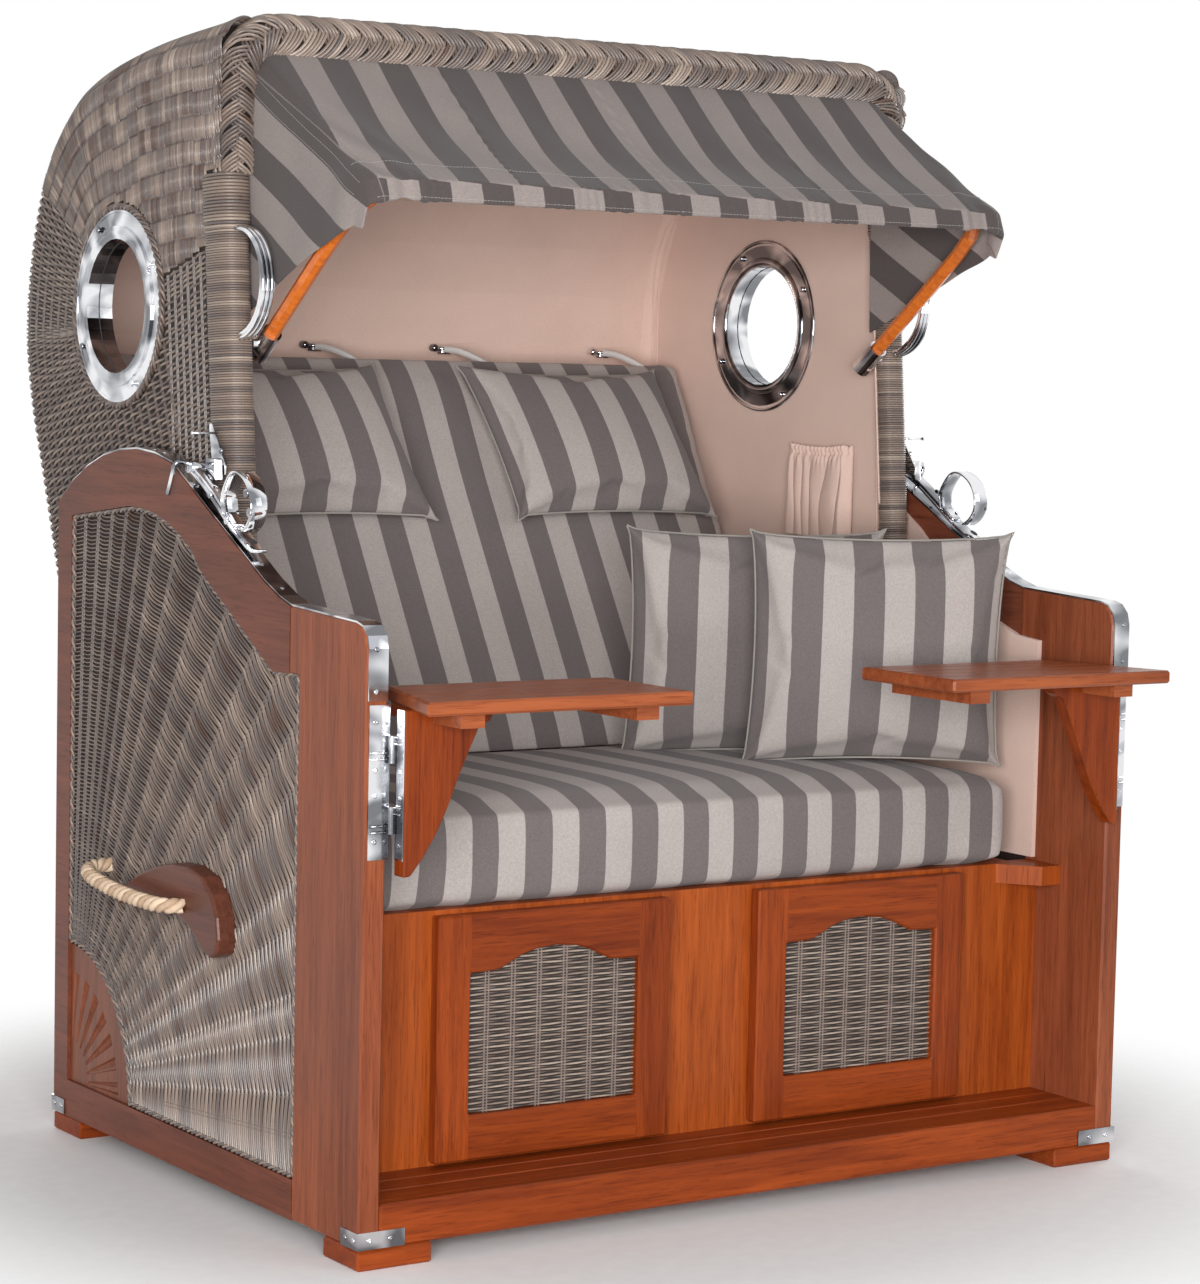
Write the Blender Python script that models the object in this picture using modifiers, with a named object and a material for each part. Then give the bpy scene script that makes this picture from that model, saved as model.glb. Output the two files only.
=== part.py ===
"""Two-seat hooded beach chair: a slatted-table wooden base with wicker sides and
a reclining wicker hood with portholes, canopy, cushions and pull-out footrests.

Chair coordinates: +X to the viewer's right, +Y towards the back, +Z up, with
y = 0 on the front of the base and z = 0 under the feet. Lengths are in metres.
"""

import math

import bmesh
import bpy
from mathutils import Vector

# Overall sizes
BASE_WIDTH = 1.250
BASE_DEPTH = 0.905
HALF_WIDTH = BASE_WIDTH / 2
FRAME_THICKNESS = 0.031
FRAME_MIDDLE_X = HALF_WIDTH - FRAME_THICKNESS / 2
FRAME_INNER_X = HALF_WIDTH - FRAME_THICKNESS
GAP = 0.0003
OVERRUN = 0.020
WELD = 0.00001
NEAR = 0.00002
FLAT_ANGLE = math.radians(0.2)
ROUND_SHADE_ANGLE = math.radians(35)
QUARTER_TURN = math.radians(90)
HALF_TURN = math.radians(180)
FULL_TURN = math.radians(360)
SIDES = (("left", -1), ("right", 1))

# Hood axis, the centre of the arch that tops the base sides
PIVOT_Y = 0.657
PIVOT_Z = 0.587
ARCH_RADIUS = 0.415
ARCH_INNER_RADIUS = 0.336
ARCH_STEP = math.radians(8)

# Base side frame
FOOT_HEIGHT = 0.027
FOOT_LENGTH_X = 0.108
FOOT_LENGTH_Y = 0.0905
STILE_WIDTH = 0.175
ARM_JOINT_Y = 0.200
ARM_FRONT_Z = 0.808
ARM_JOINT_Z = 0.817
ARM_UNDER_Z = 0.730
ARM_CORNER_RADIUS = 0.030
ARM_CORNER_STEPS = 3
RAIL_TOP_Z = 0.080
REAR_STILE_WIDTH = 0.045
REAR_STILE_Y = BASE_DEPTH - REAR_STILE_WIDTH
REAR_OPENING_Z = 0.901
SWEEP_POINTS = ((0.232, 0.826), (0.277, 0.845), (0.412, 0.916))
SWEEP_UNDER_POINTS = ((0.246, 0.730), (0.453, 0.847))
ARCH_START_ANGLE = math.radians(105.5)
ARCH_END_ANGLE = math.radians(53.3)
ARCH_UNDER_START_ANGLE = math.radians(122)
ARCH_UNDER_END_ANGLE = math.radians(87)
FRAME_ROUNDING = 0.003

# Wicker side panel and its carved corner block
WICKER_THICKNESS = 0.012
WICKER_INSET = 0.013
WICKER_MIDDLE_X = HALF_WIDTH - WICKER_INSET
FAN_RADIUS = 0.200
FAN_THICKNESS = 0.016
FAN_MIDDLE_X = WICKER_MIDDLE_X
FAN_STEPS = 12
FLUTE_COUNT = 7
FLUTE_START = 0.062
FLUTE_END = 0.160
FLUTE_NARROW_RADIUS = 0.003
FLUTE_WIDE_RADIUS = 0.010
FLUTE_SIDES = 8
FLUTE_DROP = 0.0015
FLUTE_EDGE_SHARE = 0.45

# Base side lining
LINING_BOARD_THICKNESS = 0.0074
LINING_BOARD_MIDDLE_X = FRAME_INNER_X - GAP - LINING_BOARD_THICKNESS / 2
LINING_BOARD_INNER_X = LINING_BOARD_MIDDLE_X - LINING_BOARD_THICKNESS / 2
LINING_FRONT_Y = 0.151
LINING_BOTTOM_Z = 0.4250
LINING_TOP_POINTS = ((0.151, 0.744), (0.200, 0.749), (0.247, 0.766), (0.330, 0.817), (0.400, 0.862))
LINING_ARC_RADIUS = 0.378
LINING_ARC_START = math.radians(133)
LINING_ARC_END = math.radians(60)

# Metal edge strip and table hinges
STRIP_THICKNESS = 0.0024
STRIP_WIDTH = 0.027
STRIP_END_Z = 0.714
HINGE_TOP_Z = 0.709
HINGE_BOTTOM_Z = 0.517
HINGE_EDGE_INSET = 0.0035
HINGE_PLATE_WIDTH = 0.029
HINGE_PLATE_THICKNESS = 0.0022
HINGE_PLATE_OUTER_X = HALF_WIDTH - HINGE_EDGE_INSET
HINGE_PLATE_INNER_X = HINGE_PLATE_OUTER_X - HINGE_PLATE_WIDTH
HINGE_AXIS_STAND = 0.001
HINGE_AXIS_X = HINGE_PLATE_INNER_X - HINGE_AXIS_STAND
HINGE_AXIS_Y = -0.0062
KNUCKLE_RADIUS = 0.0052
KNUCKLE_LENGTH = 0.034
KNUCKLE_HEIGHTS = (0.654, 0.566)
KNUCKLE_SIDES = 16

# Carry handle: wooden comma block and rope grip
HANDLE_THICKNESS = 0.030
HANDLE_MIDDLE_X = WICKER_MIDDLE_X + WICKER_THICKNESS / 2 + GAP + HANDLE_THICKNESS / 2
HANDLE_OUTLINE = (
    (0.655, 0.369), (0.600, 0.387), (0.545, 0.392), (0.485, 0.388), (0.430, 0.371),
    (0.385, 0.343), (0.366, 0.338), (0.350, 0.346), (0.344, 0.366), (0.349, 0.395),
    (0.366, 0.423), (0.395, 0.443), (0.435, 0.452), (0.480, 0.450), (0.530, 0.440),
    (0.580, 0.424), (0.625, 0.402),
)
HANDLE_ROUNDING = 0.004
ROPE_RADIUS = 0.0100
ROPE_FRONT_Y = 0.448
ROPE_FRONT_Z = 0.398
ROPE_REAR_Y = 0.730
ROPE_REAR_Z = 0.413
ROPE_STAND = 0.053
ROPE_STAND_X = HALF_WIDTH + ROPE_STAND
ROPE_TURN_SHARE = 0.30
ROPE_BEND_SHARES = (0.0, 0.0, 0.012, 0.045, 0.13, ROPE_TURN_SHARE, 0.50, 0.70, 0.87, 0.955, 0.988, 1.0, 1.0)
ROPE_LIFT_SHARES = (0.0, 0.25, 0.58, 0.82, 0.96, 1.0, 1.0, 0.98, 0.88, 0.66, 0.42, 0.18, 0.0)
ROPE_SAG = 0.006

# Corner brackets
BRACKET_BOTTOM_Z = 0.028
BRACKET_HEIGHT = 0.022
BRACKET_THICKNESS = 0.0022
BRACKET_SIDE_LEG = 0.040
BRACKET_FRONT_LEG = 0.066

# Hood width, between the base side linings
HOOD_SIDE_CLEARANCE = 0.0063
HOOD_HALF_X = LINING_BOARD_INNER_X - HOOD_SIDE_CLEARANCE
HOOD_WALL = 0.022
LINING_THICKNESS = 0.004
HOOD_INNER_X = HOOD_HALF_X - HOOD_WALL - GAP - LINING_THICKNESS

# Boards between the sides
FRONT_BOARD_THICKNESS = 0.020
FRONT_BOARD_TOP_Z = 0.0825
FLOOR_BOARD_THICKNESS = 0.020
FLOOR_GROOVE_WIDTH = 0.005
FLOOR_GROOVE_DEPTH = 0.004
FLOOR_GROOVE_SHARES = (0.33, 0.67)
PANEL_FRONT_Y = 0.146
PANEL_THICKNESS = 0.020
PANEL_TOP_Z = 0.4200
BAY_MIDDLE_SHARE = 0.4112
BAY_WIDTH_SHARE = 0.56
BAY_MIDDLE_X = HALF_WIDTH * BAY_MIDDLE_SHARE
BAY_WIDTH = HALF_WIDTH * BAY_WIDTH_SHARE
BAY_BOTTOM_Z = 0.0950
BAY_TOP_Z = 0.3920
LEDGE_FRONT_Y = 0.094
LEDGE_BOTTOM_Z = 0.392
LEDGE_INNER_INSET = 0.079
LEDGE_NOSE_INSET = 0.035
LEDGE_DROP = 0.0002
LEDGE_INNER_X = FRAME_INNER_X - LEDGE_INNER_INSET
LEDGE_NOSE_X = FRAME_INNER_X - LEDGE_NOSE_INSET
CARCASE_CLEARANCE = 0.0007
CARCASE_HALF_X = HOOD_INNER_X - CARCASE_CLEARANCE
CARCASE_REAR_Y = 0.690
CARCASE_BOTTOM_Z = 0.0830
CARCASE_WALL = 0.012
REAR_PANEL_THICKNESS = 0.020
REAR_PANEL_BOTTOM_Z = 0.030
REAR_PANEL_TOP_Z = 0.372

# Footrests
DOOR_OVERLAP = 0.015
DOOR_WIDTH = BAY_WIDTH + DOOR_OVERLAP
DOOR_BOTTOM_Z = 0.088
DOOR_TOP_Z = 0.4140
DOOR_THICKNESS = 0.0197
DOOR_STILE = 0.050
DOOR_LOWER_RAIL = 0.060
DOOR_UPPER_RAIL = 0.077
DOOR_SHOULDER = 0.022
DOOR_ARCH_SHARES = ((0.80, 0.05), (0.66, 0.30), (0.48, 0.66), (0.28, 0.90), (0.0, 1.0))
DOOR_ARCH_RISE = 0.027
DOOR_ROUNDING = 0.0025
DRAWER_WIDTH = BAY_WIDTH - GAP * 2
DRAWER_BOARD = 0.012
DRAWER_REAR_Y = 0.620
DRAWER_TOP_Z = BAY_TOP_Z - GAP
INLAY_THICKNESS = 0.006

# Seat cushion
SEAT_END_INSET = 0.013
SEAT_FRONT_OVERHANG = 0.010
SEAT_REAR_INSET = 0.002
SEAT_CLEARANCE = 0.0005
SEAT_HALF_X = CARCASE_HALF_X - SEAT_END_INSET
SEAT_FRONT_Y = PANEL_FRONT_Y - SEAT_FRONT_OVERHANG
SEAT_REAR_Y = CARCASE_REAR_Y - SEAT_REAR_INSET
SEAT_UNDER_Z = PANEL_TOP_Z + SEAT_CLEARANCE
SEAT_THICKNESS = 0.124
SEAT_CROWN = 0.010
BOXED_ROUNDING_SHARE = 0.030
BOXED_CUTS = 7

# Hood
HOOD_CORNER_RADIUS = 0.045
HOOD_CORNER_STEPS = 3
ROUND_PROFILE_SHARE = 0.5
HOLLOW_OVERRUN = 0.060
HOOD_PROFILE = (
    (0.5423, 1.579), (0.711, 1.565), (0.850, 1.544), (0.940, 1.520), (0.995, 1.492),
    (1.045, 1.452), (1.088, 1.398), (1.120, 1.330), (1.143, 1.250), (1.153, 1.163),
    (1.143, 1.095), (1.120, 1.020), (1.066, 0.885), (0.922, 0.500),
)
HOOD_LOWER_EDGE = (
    (0.860, 0.462), (0.760, 0.432), (0.657, 0.428), (0.560, 0.458), (0.480, 0.530),
    (0.442, 0.640), (0.452, 0.740),
)
HOOD_FRONT_EDGE = ((0.4852, 0.895), (0.4888, 0.944), (0.5222, 1.318), (0.5423, 1.345))
RIM_INSET = 0.0215
RIM_MIDDLE_X = HOOD_HALF_X - RIM_INSET
RIM_POINTS = (
    (0.4635, 0.905), (0.467, 0.944), (0.4744, 1.026), (0.4824, 1.115), (0.4900, 1.200),
    (0.4977, 1.286), (0.5020, 1.334), (0.5028, 1.342), (0.5060, 1.392), (0.5073, 1.410),
    (0.5080, 1.450), (0.5080, 1.500),
)
RIM_POST_RADIUS = 0.0205
RIM_COLLAR_RADIUS = 0.0240
RIM_BRAID_RADIUS = 0.0335
RIM_POST_COUNT = 7
RIM_COLLAR_COUNT = 9
RIM_TOP_Z = 1.5565
RIM_CORNER_RADIUS = 0.056
RIM_CORNER_STEPS = 4
RIM_SPAN_STEPS = 4
RIM_LAP = 0.006
GRIP_SPAN = slice(4, 6)
HOOD_GRIP_Z = 1.2305
HOOD_GRIP_RADIUS = 0.0735
HOOD_GRIP_THICKNESS = 0.0050
HOOD_GRIP_WIDTH = 0.0190
HOOD_GRIP_ROUNDING = 0.0012
HOOD_GRIP_STEPS = 16
TUBE_RESOLUTION = 2

# Pivot pins
PIN_RADIUS = 0.0100
PIN_HEAD_RADIUS = 0.0180
PIN_HEAD_CLEARANCE = 0.0007
PIN_HEAD_THICKNESS = 0.004
PIN_TAIL = 0.005
PIN_HEAD_OUTER_X = HOOD_INNER_X - PIN_HEAD_CLEARANCE
PIN_HEAD_INNER_X = PIN_HEAD_OUTER_X - PIN_HEAD_THICKNESS
PIN_OUTER_X = FRAME_INNER_X + PIN_TAIL
PIN_HOLE_RADIUS = PIN_RADIUS + GAP
PIN_SIDES = 24

# Portholes
PORT_Y = 0.800
PORT_Z = 1.200
PORT_CLEAR_RADIUS = 0.0950
PORT_TUBE_RADIUS = 0.0990
PORT_HOLE_RADIUS = PORT_TUBE_RADIUS + GAP
PORT_RING_RADIUS = 0.1135
PORT_FLANGE_RADIUS = 0.1325
PORT_INNER_FLANGE_RADIUS = 0.1280
PORT_FLANGE_THICKNESS = 0.0050
PORT_RING_RISE = 0.0080
PORT_STEPS = 36

# Back cushion and head pillows
BACK_LEAN = math.radians(20.5)
BACK_END_CLEARANCE = 0.0137
BACK_HALF_X = HOOD_INNER_X - BACK_END_CLEARANCE
BACK_THICKNESS = 0.1110
BACK_HEIGHT = 0.660
BACK_CROWN = 0.006
BACK_FOOT_Y = 0.778
BACK_FOOT_Z = 0.508
NECK_HALF_SHARE = 0.3296
NECK_HALF_X = BACK_HALF_X * NECK_HALF_SHARE
NECK_HEIGHT = 0.235
NECK_THICKNESS = 0.105
NECK_MIDDLE_SHARES = (-0.4352, 0.5278)
NECK_TOP_ALONG = 0.632
NECK_CROWN_SHARE = 0.85
PILLOW_FLANGE = 0.006
PILLOW_DRAW_SHARE = 0.060
PILLOW_CUTS = 7
PILLOW_FULLNESS_SHARE = 0.55
THROW_WIDTH = 0.390
THROW_HEIGHT = 0.350
THROW_THICKNESS = 0.105
THROW_TURN = math.radians(-27)
THROW_LEAN = math.radians(-6)
THROW_PLACES = (("rear", 0.278, 0.440), ("front", 0.168, 0.260))
THROW_FOOT_Z = 0.5548

# Lining pocket
POCKET_FRONT_Y = 0.552
POCKET_REAR_Y = 0.711
POCKET_BOTTOM_Z = 0.870
POCKET_TOP_Z = 1.018
POCKET_DEPTH = 0.030
POCKET_CLOTH = 0.004
POCKET_FOLDS = 7
POCKET_FOLD_DEPTH = 0.0022
POCKET_CUTS = 15
POCKET_GATHER_SHARE = 0.30

# Canopy and bow
BOW_AXIS_Y = 0.4800
BOW_AXIS_Z = 1.1500
BOW_ARM_INSET = 0.0405
BOW_ARM_X = RIM_MIDDLE_X - BOW_ARM_INSET
BOW_RADIUS = 0.0105
BOW_CORNERS = (
    (0.0, 0.4720, 1.1561), (0.0, 0.3900, 1.2180), (0.0, 0.3250, 1.2670), (0.0020, 0.2750, 1.3040),
    (0.0100, 0.2370, 1.3310), (0.0260, 0.2130, 1.3480), (0.0500, 0.2010, 1.3560), (0.0830, 0.2000, 1.3570),
)
BOW_PATH = tuple((BOW_ARM_X - inset, along, height) for inset, along, height in BOW_CORNERS)
FERRULE_RADIUS = 0.0140
FERRULE_LENGTH = 0.052
FERRULE_PIN_RADIUS = 0.0060
FERRULE_SIDES = 20
CANOPY_THICKNESS = 0.0024
CANOPY_INNER_SHARES = (0.7273, 0.3636, 0.0)
CANOPY_REAR = (
    (0.0470, 0.4530, 1.2300), (0.0470, 0.4560, 1.3000), (0.0470, 0.4590, 1.3700), (0.0480, 0.4600, 1.4300),
    (0.0500, 0.4620, 1.4850), (0.0620, 0.4700, 1.5120), (0.0850, 0.4820, 1.5195),
)
CANOPY_REAR_INNER = ((0.4820, 1.5195), (0.4820, 1.5195), (0.4820, 1.5195))
CANOPY_MIDDLE = (
    (0.0460, 0.3300, 1.2780), (0.0460, 0.3310, 1.3200), (0.0460, 0.3320, 1.3600), (0.0470, 0.3330, 1.4000),
    (0.0490, 0.3340, 1.4280), (0.0600, 0.3350, 1.4400), (0.0850, 0.3350, 1.4420),
)
CANOPY_MIDDLE_INNER = ((0.3330, 1.4330), (0.3300, 1.4290), (0.3300, 1.4270))
CANOPY_FRONT = (
    (0.0490, 0.2150, 1.3170), (0.0480, 0.2100, 1.3280), (0.0480, 0.2040, 1.3410), (0.0500, 0.1980, 1.3515),
    (0.0590, 0.1920, 1.3594), (0.0760, 0.1890, 1.3633), (0.1100, 0.1870, 1.3641),
)
CANOPY_FRONT_INNER = ((0.1870, 1.3641), (0.1870, 1.3641), (0.1870, 1.3641))
CANOPY_HEM = (
    (0.0530, 0.2000, 1.3080), (0.0520, 0.1950, 1.3160), (0.0520, 0.1900, 1.3240), (0.0550, 0.1850, 1.3310),
    (0.0640, 0.1820, 1.3350), (0.0800, 0.1810, 1.3370), (0.1120, 0.1800, 1.3380),
)
CANOPY_HEM_INNER = ((0.1800, 1.3380), (0.1800, 1.3370), (0.1800, 1.3370))

# Tables
TABLE_TOP_Z = 0.7225
TABLE_THICKNESS = 0.018
TABLE_REACH = 0.3795
TABLE_OVERHANG = 0.0125
TABLE_REAR_CLEARANCE = 0.0455
TABLE_INNER_X = HINGE_AXIS_X - TABLE_REACH
TABLE_OUTER_FRONT_X = HINGE_AXIS_X + TABLE_OVERHANG
TABLE_OUTER_REAR_X = HINGE_AXIS_X - TABLE_REAR_CLEARANCE
TABLE_FRONT_Y = -0.112
TABLE_REAR_Y = 0.090
TABLE_GROOVES = 4
TABLE_GROOVE_WIDTH = 0.003
TABLE_GROOVE_DEPTH = 0.0020
TABLE_ROUNDING = 0.003
BATTEN_WIDTH = 0.034
BATTEN_DEPTH = 0.018
BATTEN_REACHES = (0.0615, 0.3195)
BATTEN_INSET = 0.016
GUSSET_THICKNESS = 0.0240
GUSSET_MIDDLE_Y = -0.0180
GUSSET_NOSE_REACH = 0.1355
GUSSET_TOP_Z = 0.7042
GUSSET_SEAT_REACH = 0.0055
GUSSET_OUTLINE = (
    (GUSSET_SEAT_REACH, 0.4970), (0.0155, 0.4980), (0.0335, 0.5200), (0.0515, 0.5480),
    (0.0675, 0.5800), (0.0815, 0.6150), (0.0965, 0.6480), (0.1115, 0.6800), (0.1275, 0.6870),
    (GUSSET_NOSE_REACH, GUSSET_TOP_Z), (GUSSET_SEAT_REACH, GUSSET_TOP_Z),
)

# Lift levers
LEVER_MIDDLE_X = FRAME_MIDDLE_X
LEVER_WIDTH = 0.022
LEVER_STRAP = 0.004
LEVER_PATH = ((0.335, 0.8830), (0.375, 0.9040), (0.415, 0.9300), (0.455, 0.9550), (0.499, 0.9770))
LEVER_KNUCKLE_RADIUS = 0.0075
LEVER_AXIS_RISE = 0.0110
LEVER_AXIS_ANGLE = math.radians(111.85)
LEVER_AXIS_Y = PIVOT_Y + (ARCH_RADIUS + LEVER_AXIS_RISE) * math.cos(LEVER_AXIS_ANGLE)
LEVER_AXIS_Z = PIVOT_Z + (ARCH_RADIUS + LEVER_AXIS_RISE) * math.sin(LEVER_AXIS_ANGLE)
LEVER_END_INSET = 0.002
LEVER_INNER_X = HOOD_HALF_X + GAP
LEVER_OUTER_X = HALF_WIDTH - LEVER_END_INSET
GRIP_RADIUS = 0.0048
GRIP_PATH = (
    (0.343, 0.8890), (0.339, 0.9120), (0.340, 0.9350), (0.348, 0.9540), (0.364, 0.9650),
    (0.382, 0.9660), (0.397, 0.9570), (0.404, 0.9420), (0.404, 0.9250),
)

# The frame's origin is under the middle of the whole object
REARMOST_Y = max(point[0] for point in HOOD_PROFILE)
FOREMOST_Y = TABLE_FRONT_Y
ORIGIN_Y = (REARMOST_Y + FOREMOST_Y) / 2

carriers = {}


def clear_scene():
    for thing in list(bpy.data.objects):
        bpy.data.objects.remove(thing)


def collection(name):
    group = bpy.data.collections.new(name)
    bpy.context.scene.collection.children.link(group)
    return group


def material(name, colour, roughness, metallic=0):
    surface = bpy.data.materials.new(name)
    surface.use_nodes = True
    shader = surface.node_tree.nodes["Principled BSDF"]
    shader.inputs["Base Color"].default_value = (*colour, 1)
    shader.inputs["Roughness"].default_value = roughness
    shader.inputs["Metallic"].default_value = metallic
    surface.diffuse_color = (*colour, 1)
    return surface


clear_scene()
PARTS = collection("hooded_beach_chair")
GUIDES = collection("cutters")

MAHOGANY_COLOUR = (0.33, 0.095, 0.030)
DARK_MAHOGANY_COLOUR = (0.20, 0.060, 0.028)
WICKER_COLOUR = (0.30, 0.245, 0.205)
CHROME_COLOUR = (0.72, 0.73, 0.75)
LINING_COLOUR = (0.56, 0.42, 0.34)
CUSHION_COLOUR = (0.30, 0.28, 0.26)
CANOPY_COLOUR = (0.34, 0.31, 0.29)
ROPE_COLOUR = (0.72, 0.55, 0.33)
BOW_COLOUR = (0.70, 0.20, 0.030)
STEEL_COLOUR = (0.45, 0.45, 0.46)


def mahogany(name):
    return material(name, MAHOGANY_COLOUR, roughness=0.38)


def dark_mahogany(name):
    return material(name, DARK_MAHOGANY_COLOUR, roughness=0.45)


def wicker(name):
    return material(name, WICKER_COLOUR, roughness=0.62)


def chrome(name):
    return material(name, CHROME_COLOUR, roughness=0.12, metallic=1)


def steel(name):
    return material(name, STEEL_COLOUR, roughness=0.35, metallic=1)


def lining_cloth(name):
    return material(name, LINING_COLOUR, roughness=0.85)


def striped_cloth(name):
    return material(name, CUSHION_COLOUR, roughness=0.90)


def canopy_cloth(name):
    return material(name, CANOPY_COLOUR, roughness=0.88)


def rope_fibre(name):
    return material(name, ROPE_COLOUR, roughness=0.90)


def orange_lacquer(name):
    return material(name, BOW_COLOUR, roughness=0.35)


def carrier(name, place, holder=None):
    """An empty on a joint's axis, in chair coordinates, carried by another one."""
    axis = bpy.data.objects.new(name, None)
    PARTS.objects.link(axis)
    carriers[name] = Vector(place)
    axis.parent = holder
    axis.location = carriers[name] - (carriers[holder.name] if holder else Vector((0, 0, 0)))
    return axis


def put(piece, holder, place, finish):
    """Hangs a piece on its carrier, at a place given in chair coordinates."""
    piece.parent = holder
    piece.location = Vector(place) - carriers[holder.name]
    piece.data.materials.clear()
    piece.data.materials.append(finish(piece.name))
    return piece


def show(name, mesh, group=None):
    piece = bpy.data.objects.new(name, mesh)
    (group or PARTS).objects.link(piece)
    return piece


def shade(piece):
    for face in piece.data.polygons:
        face.use_smooth = True
    piece.data.set_sharp_from_angle(angle=ROUND_SHADE_ANGLE)
    return piece


def mesh_of_curve(name, curve, flatten=True):
    """The closed mesh that a curve makes, with its caps welded on."""
    guide = bpy.data.objects.new(name, curve)
    PARTS.objects.link(guide)
    bpy.context.view_layer.update()
    seen = guide.evaluated_get(bpy.context.evaluated_depsgraph_get())
    mesh = bpy.data.meshes.new_from_object(seen)
    bpy.data.objects.remove(guide)
    form = bmesh.new()
    form.from_mesh(mesh)
    bmesh.ops.remove_doubles(form, verts=form.verts, dist=WELD)
    if flatten:
        bmesh.ops.dissolve_limit(form, angle_limit=FLAT_ANGLE, verts=form.verts, edges=form.edges)
    bmesh.ops.recalc_face_normals(form, faces=form.faces)
    form.to_mesh(mesh)
    form.free()
    mesh.name = name
    return mesh


def outline_mesh(name, outline, depth, holes=()):
    """A flat outline with its holes, drawn out evenly to both sides."""
    curve = bpy.data.curves.new(name, "CURVE")
    curve.dimensions = "2D"
    curve.fill_mode = "BOTH"
    curve.extrude = depth / 2
    for loop in (outline, *holes):
        spline = curve.splines.new("POLY")
        spline.points.add(len(loop[1:]))
        spline.use_cyclic_u = True
        for point, (across, up) in zip(spline.points, loop):
            point.co = (across, up, 0, 1)
    return mesh_of_curve(name, curve)


def flat(name, outline, depth, facing, holes=(), group=None):
    """A board standing to the side (y, z), to the front (x, z) or lying (x, y)."""
    piece = show(name, outline_mesh(name, outline, depth, holes), group)
    turns = {"side": (QUARTER_TURN, 0, QUARTER_TURN), "front": (QUARTER_TURN, 0, 0), "top": (0, 0, 0)}
    piece.rotation_euler = turns[facing]
    return piece


def tube_mesh(name, path, radius, radii=None):
    """A round tube with closed ends along a route."""
    curve = bpy.data.curves.new(name, "CURVE")
    curve.dimensions = "3D"
    curve.bevel_depth = radius
    curve.bevel_resolution = TUBE_RESOLUTION
    curve.use_fill_caps = True
    spline = curve.splines.new("POLY")
    spline.points.add(len(path[1:]))
    for index, (point, place) in enumerate(zip(spline.points, path)):
        point.co = (*place, 1)
        if radii:
            point.radius = radii[index] / radius
    return mesh_of_curve(name, curve, flatten=False)


def mesh_of(name, form):
    mesh = bpy.data.meshes.new(name)
    form.to_mesh(mesh)
    form.free()
    return mesh


def taper_mesh(name, low_radius, high_radius, length, sides):
    form = bmesh.new()
    bmesh.ops.create_cone(
        form, cap_ends=True, segments=sides, radius1=low_radius, radius2=high_radius, depth=length
    )
    return mesh_of(name, form)


def rod_mesh(name, radius, length, sides):
    return taper_mesh(name, radius, radius, length, sides)


def block_mesh(name, low, high):
    """A block of the size between two corners, about its own middle."""
    form = bmesh.new()
    bmesh.ops.create_cube(form, size=1)
    bmesh.ops.scale(form, vec=Vector(high) - Vector(low), verts=form.verts)
    return mesh_of(name, form)


def round_edges(piece, width, steps=1):
    bevel = piece.modifiers.new("rounded edges", "BEVEL")
    bevel.width = width
    bevel.segments = steps
    bevel.limit_method = "ANGLE"
    bevel.angle_limit = ROUND_SHADE_ANGLE
    return piece


def hide(guide):
    guide.hide_render = True
    guide.display_type = "WIRE"
    return guide


def combine(piece, guide, operation):
    joint = piece.modifiers.new(operation.lower(), "BOOLEAN")
    joint.operation = operation
    joint.solver = "EXACT"
    joint.object = hide(guide)


def cut(piece, guide):
    combine(piece, guide, "DIFFERENCE")


def unite(piece, guide):
    combine(piece, guide, "UNION")


def guide_at(guide, place):
    """Places a cutter in chair coordinates, carried by the object's origin."""
    guide.parent = ROOT
    guide.location = Vector(place) - carriers[ROOT.name]
    return guide


def middle_of(low, high):
    return (Vector(low) + Vector(high)) / 2


def box_guide(name, low, high):
    return guide_at(show(name, block_mesh(name, low, high), GUIDES), middle_of(low, high))


def cross_rod_guide(name, radius, length, place, sides):
    """A rod along X."""
    guide = show(name, rod_mesh(name, radius, length, sides), GUIDES)
    guide.rotation_euler = (0, QUARTER_TURN, 0)
    return guide_at(guide, place)


def box(name, low, high, holder, finish, rounding=0):
    piece = put(show(name, block_mesh(name, low, high)), holder, middle_of(low, high), finish)
    return round_edges(piece, rounding) if rounding else piece


def arc(middle, radius, start, end, step=ARCH_STEP):
    """Points along an arc, both ends included."""
    count = max(math.ceil(abs(end - start) / step), 1)
    sweep = (end - start) / count
    angles = [start + sweep * index for index in range(count)] + [end]
    return [
        (middle[0] + radius * math.cos(angle), middle[1] + radius * math.sin(angle))
        for angle in angles
    ]


def offset(path, distance, closed):
    """Moves a path sideways, to the left of its direction, with mitred corners."""
    points = [Vector(point) for point in path]
    before = points[-1:] + points[:-1]
    after = points[1:] + points[:1]
    moved = []
    for index, (last, here, following) in enumerate(zip(before, points, after)):
        leaving = (following - here).normalized()
        arriving = (here - last).normalized()
        if not closed and index == 0:
            arriving = leaving
        if not closed and here is points[-1]:
            leaving = arriving
        side_in = Vector((-arriving.y, arriving.x))
        side_out = Vector((-leaving.y, leaving.x))
        middle = (side_in + side_out).normalized()
        moved.append(tuple(here + middle * (distance / middle.dot(side_in))))
    return moved


def mirrored(points):
    return [(-point[0], *point[1:]) for point in points]


# Base side frames

def arm_top_path():
    """The top edge from the front corner to the joint with the arched rail."""
    middle = (ARM_CORNER_RADIUS, ARM_FRONT_Z - ARM_CORNER_RADIUS)
    return arc(middle, ARM_CORNER_RADIUS, HALF_TURN, QUARTER_TURN, QUARTER_TURN / ARM_CORNER_STEPS)


def arch_top_path():
    """The swept top edge from the arm joint over the arch to the rear corner."""
    over = arc((PIVOT_Y, PIVOT_Z), ARCH_RADIUS, ARCH_START_ANGLE, ARCH_END_ANGLE)
    return [*SWEEP_POINTS, *over]


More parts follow.
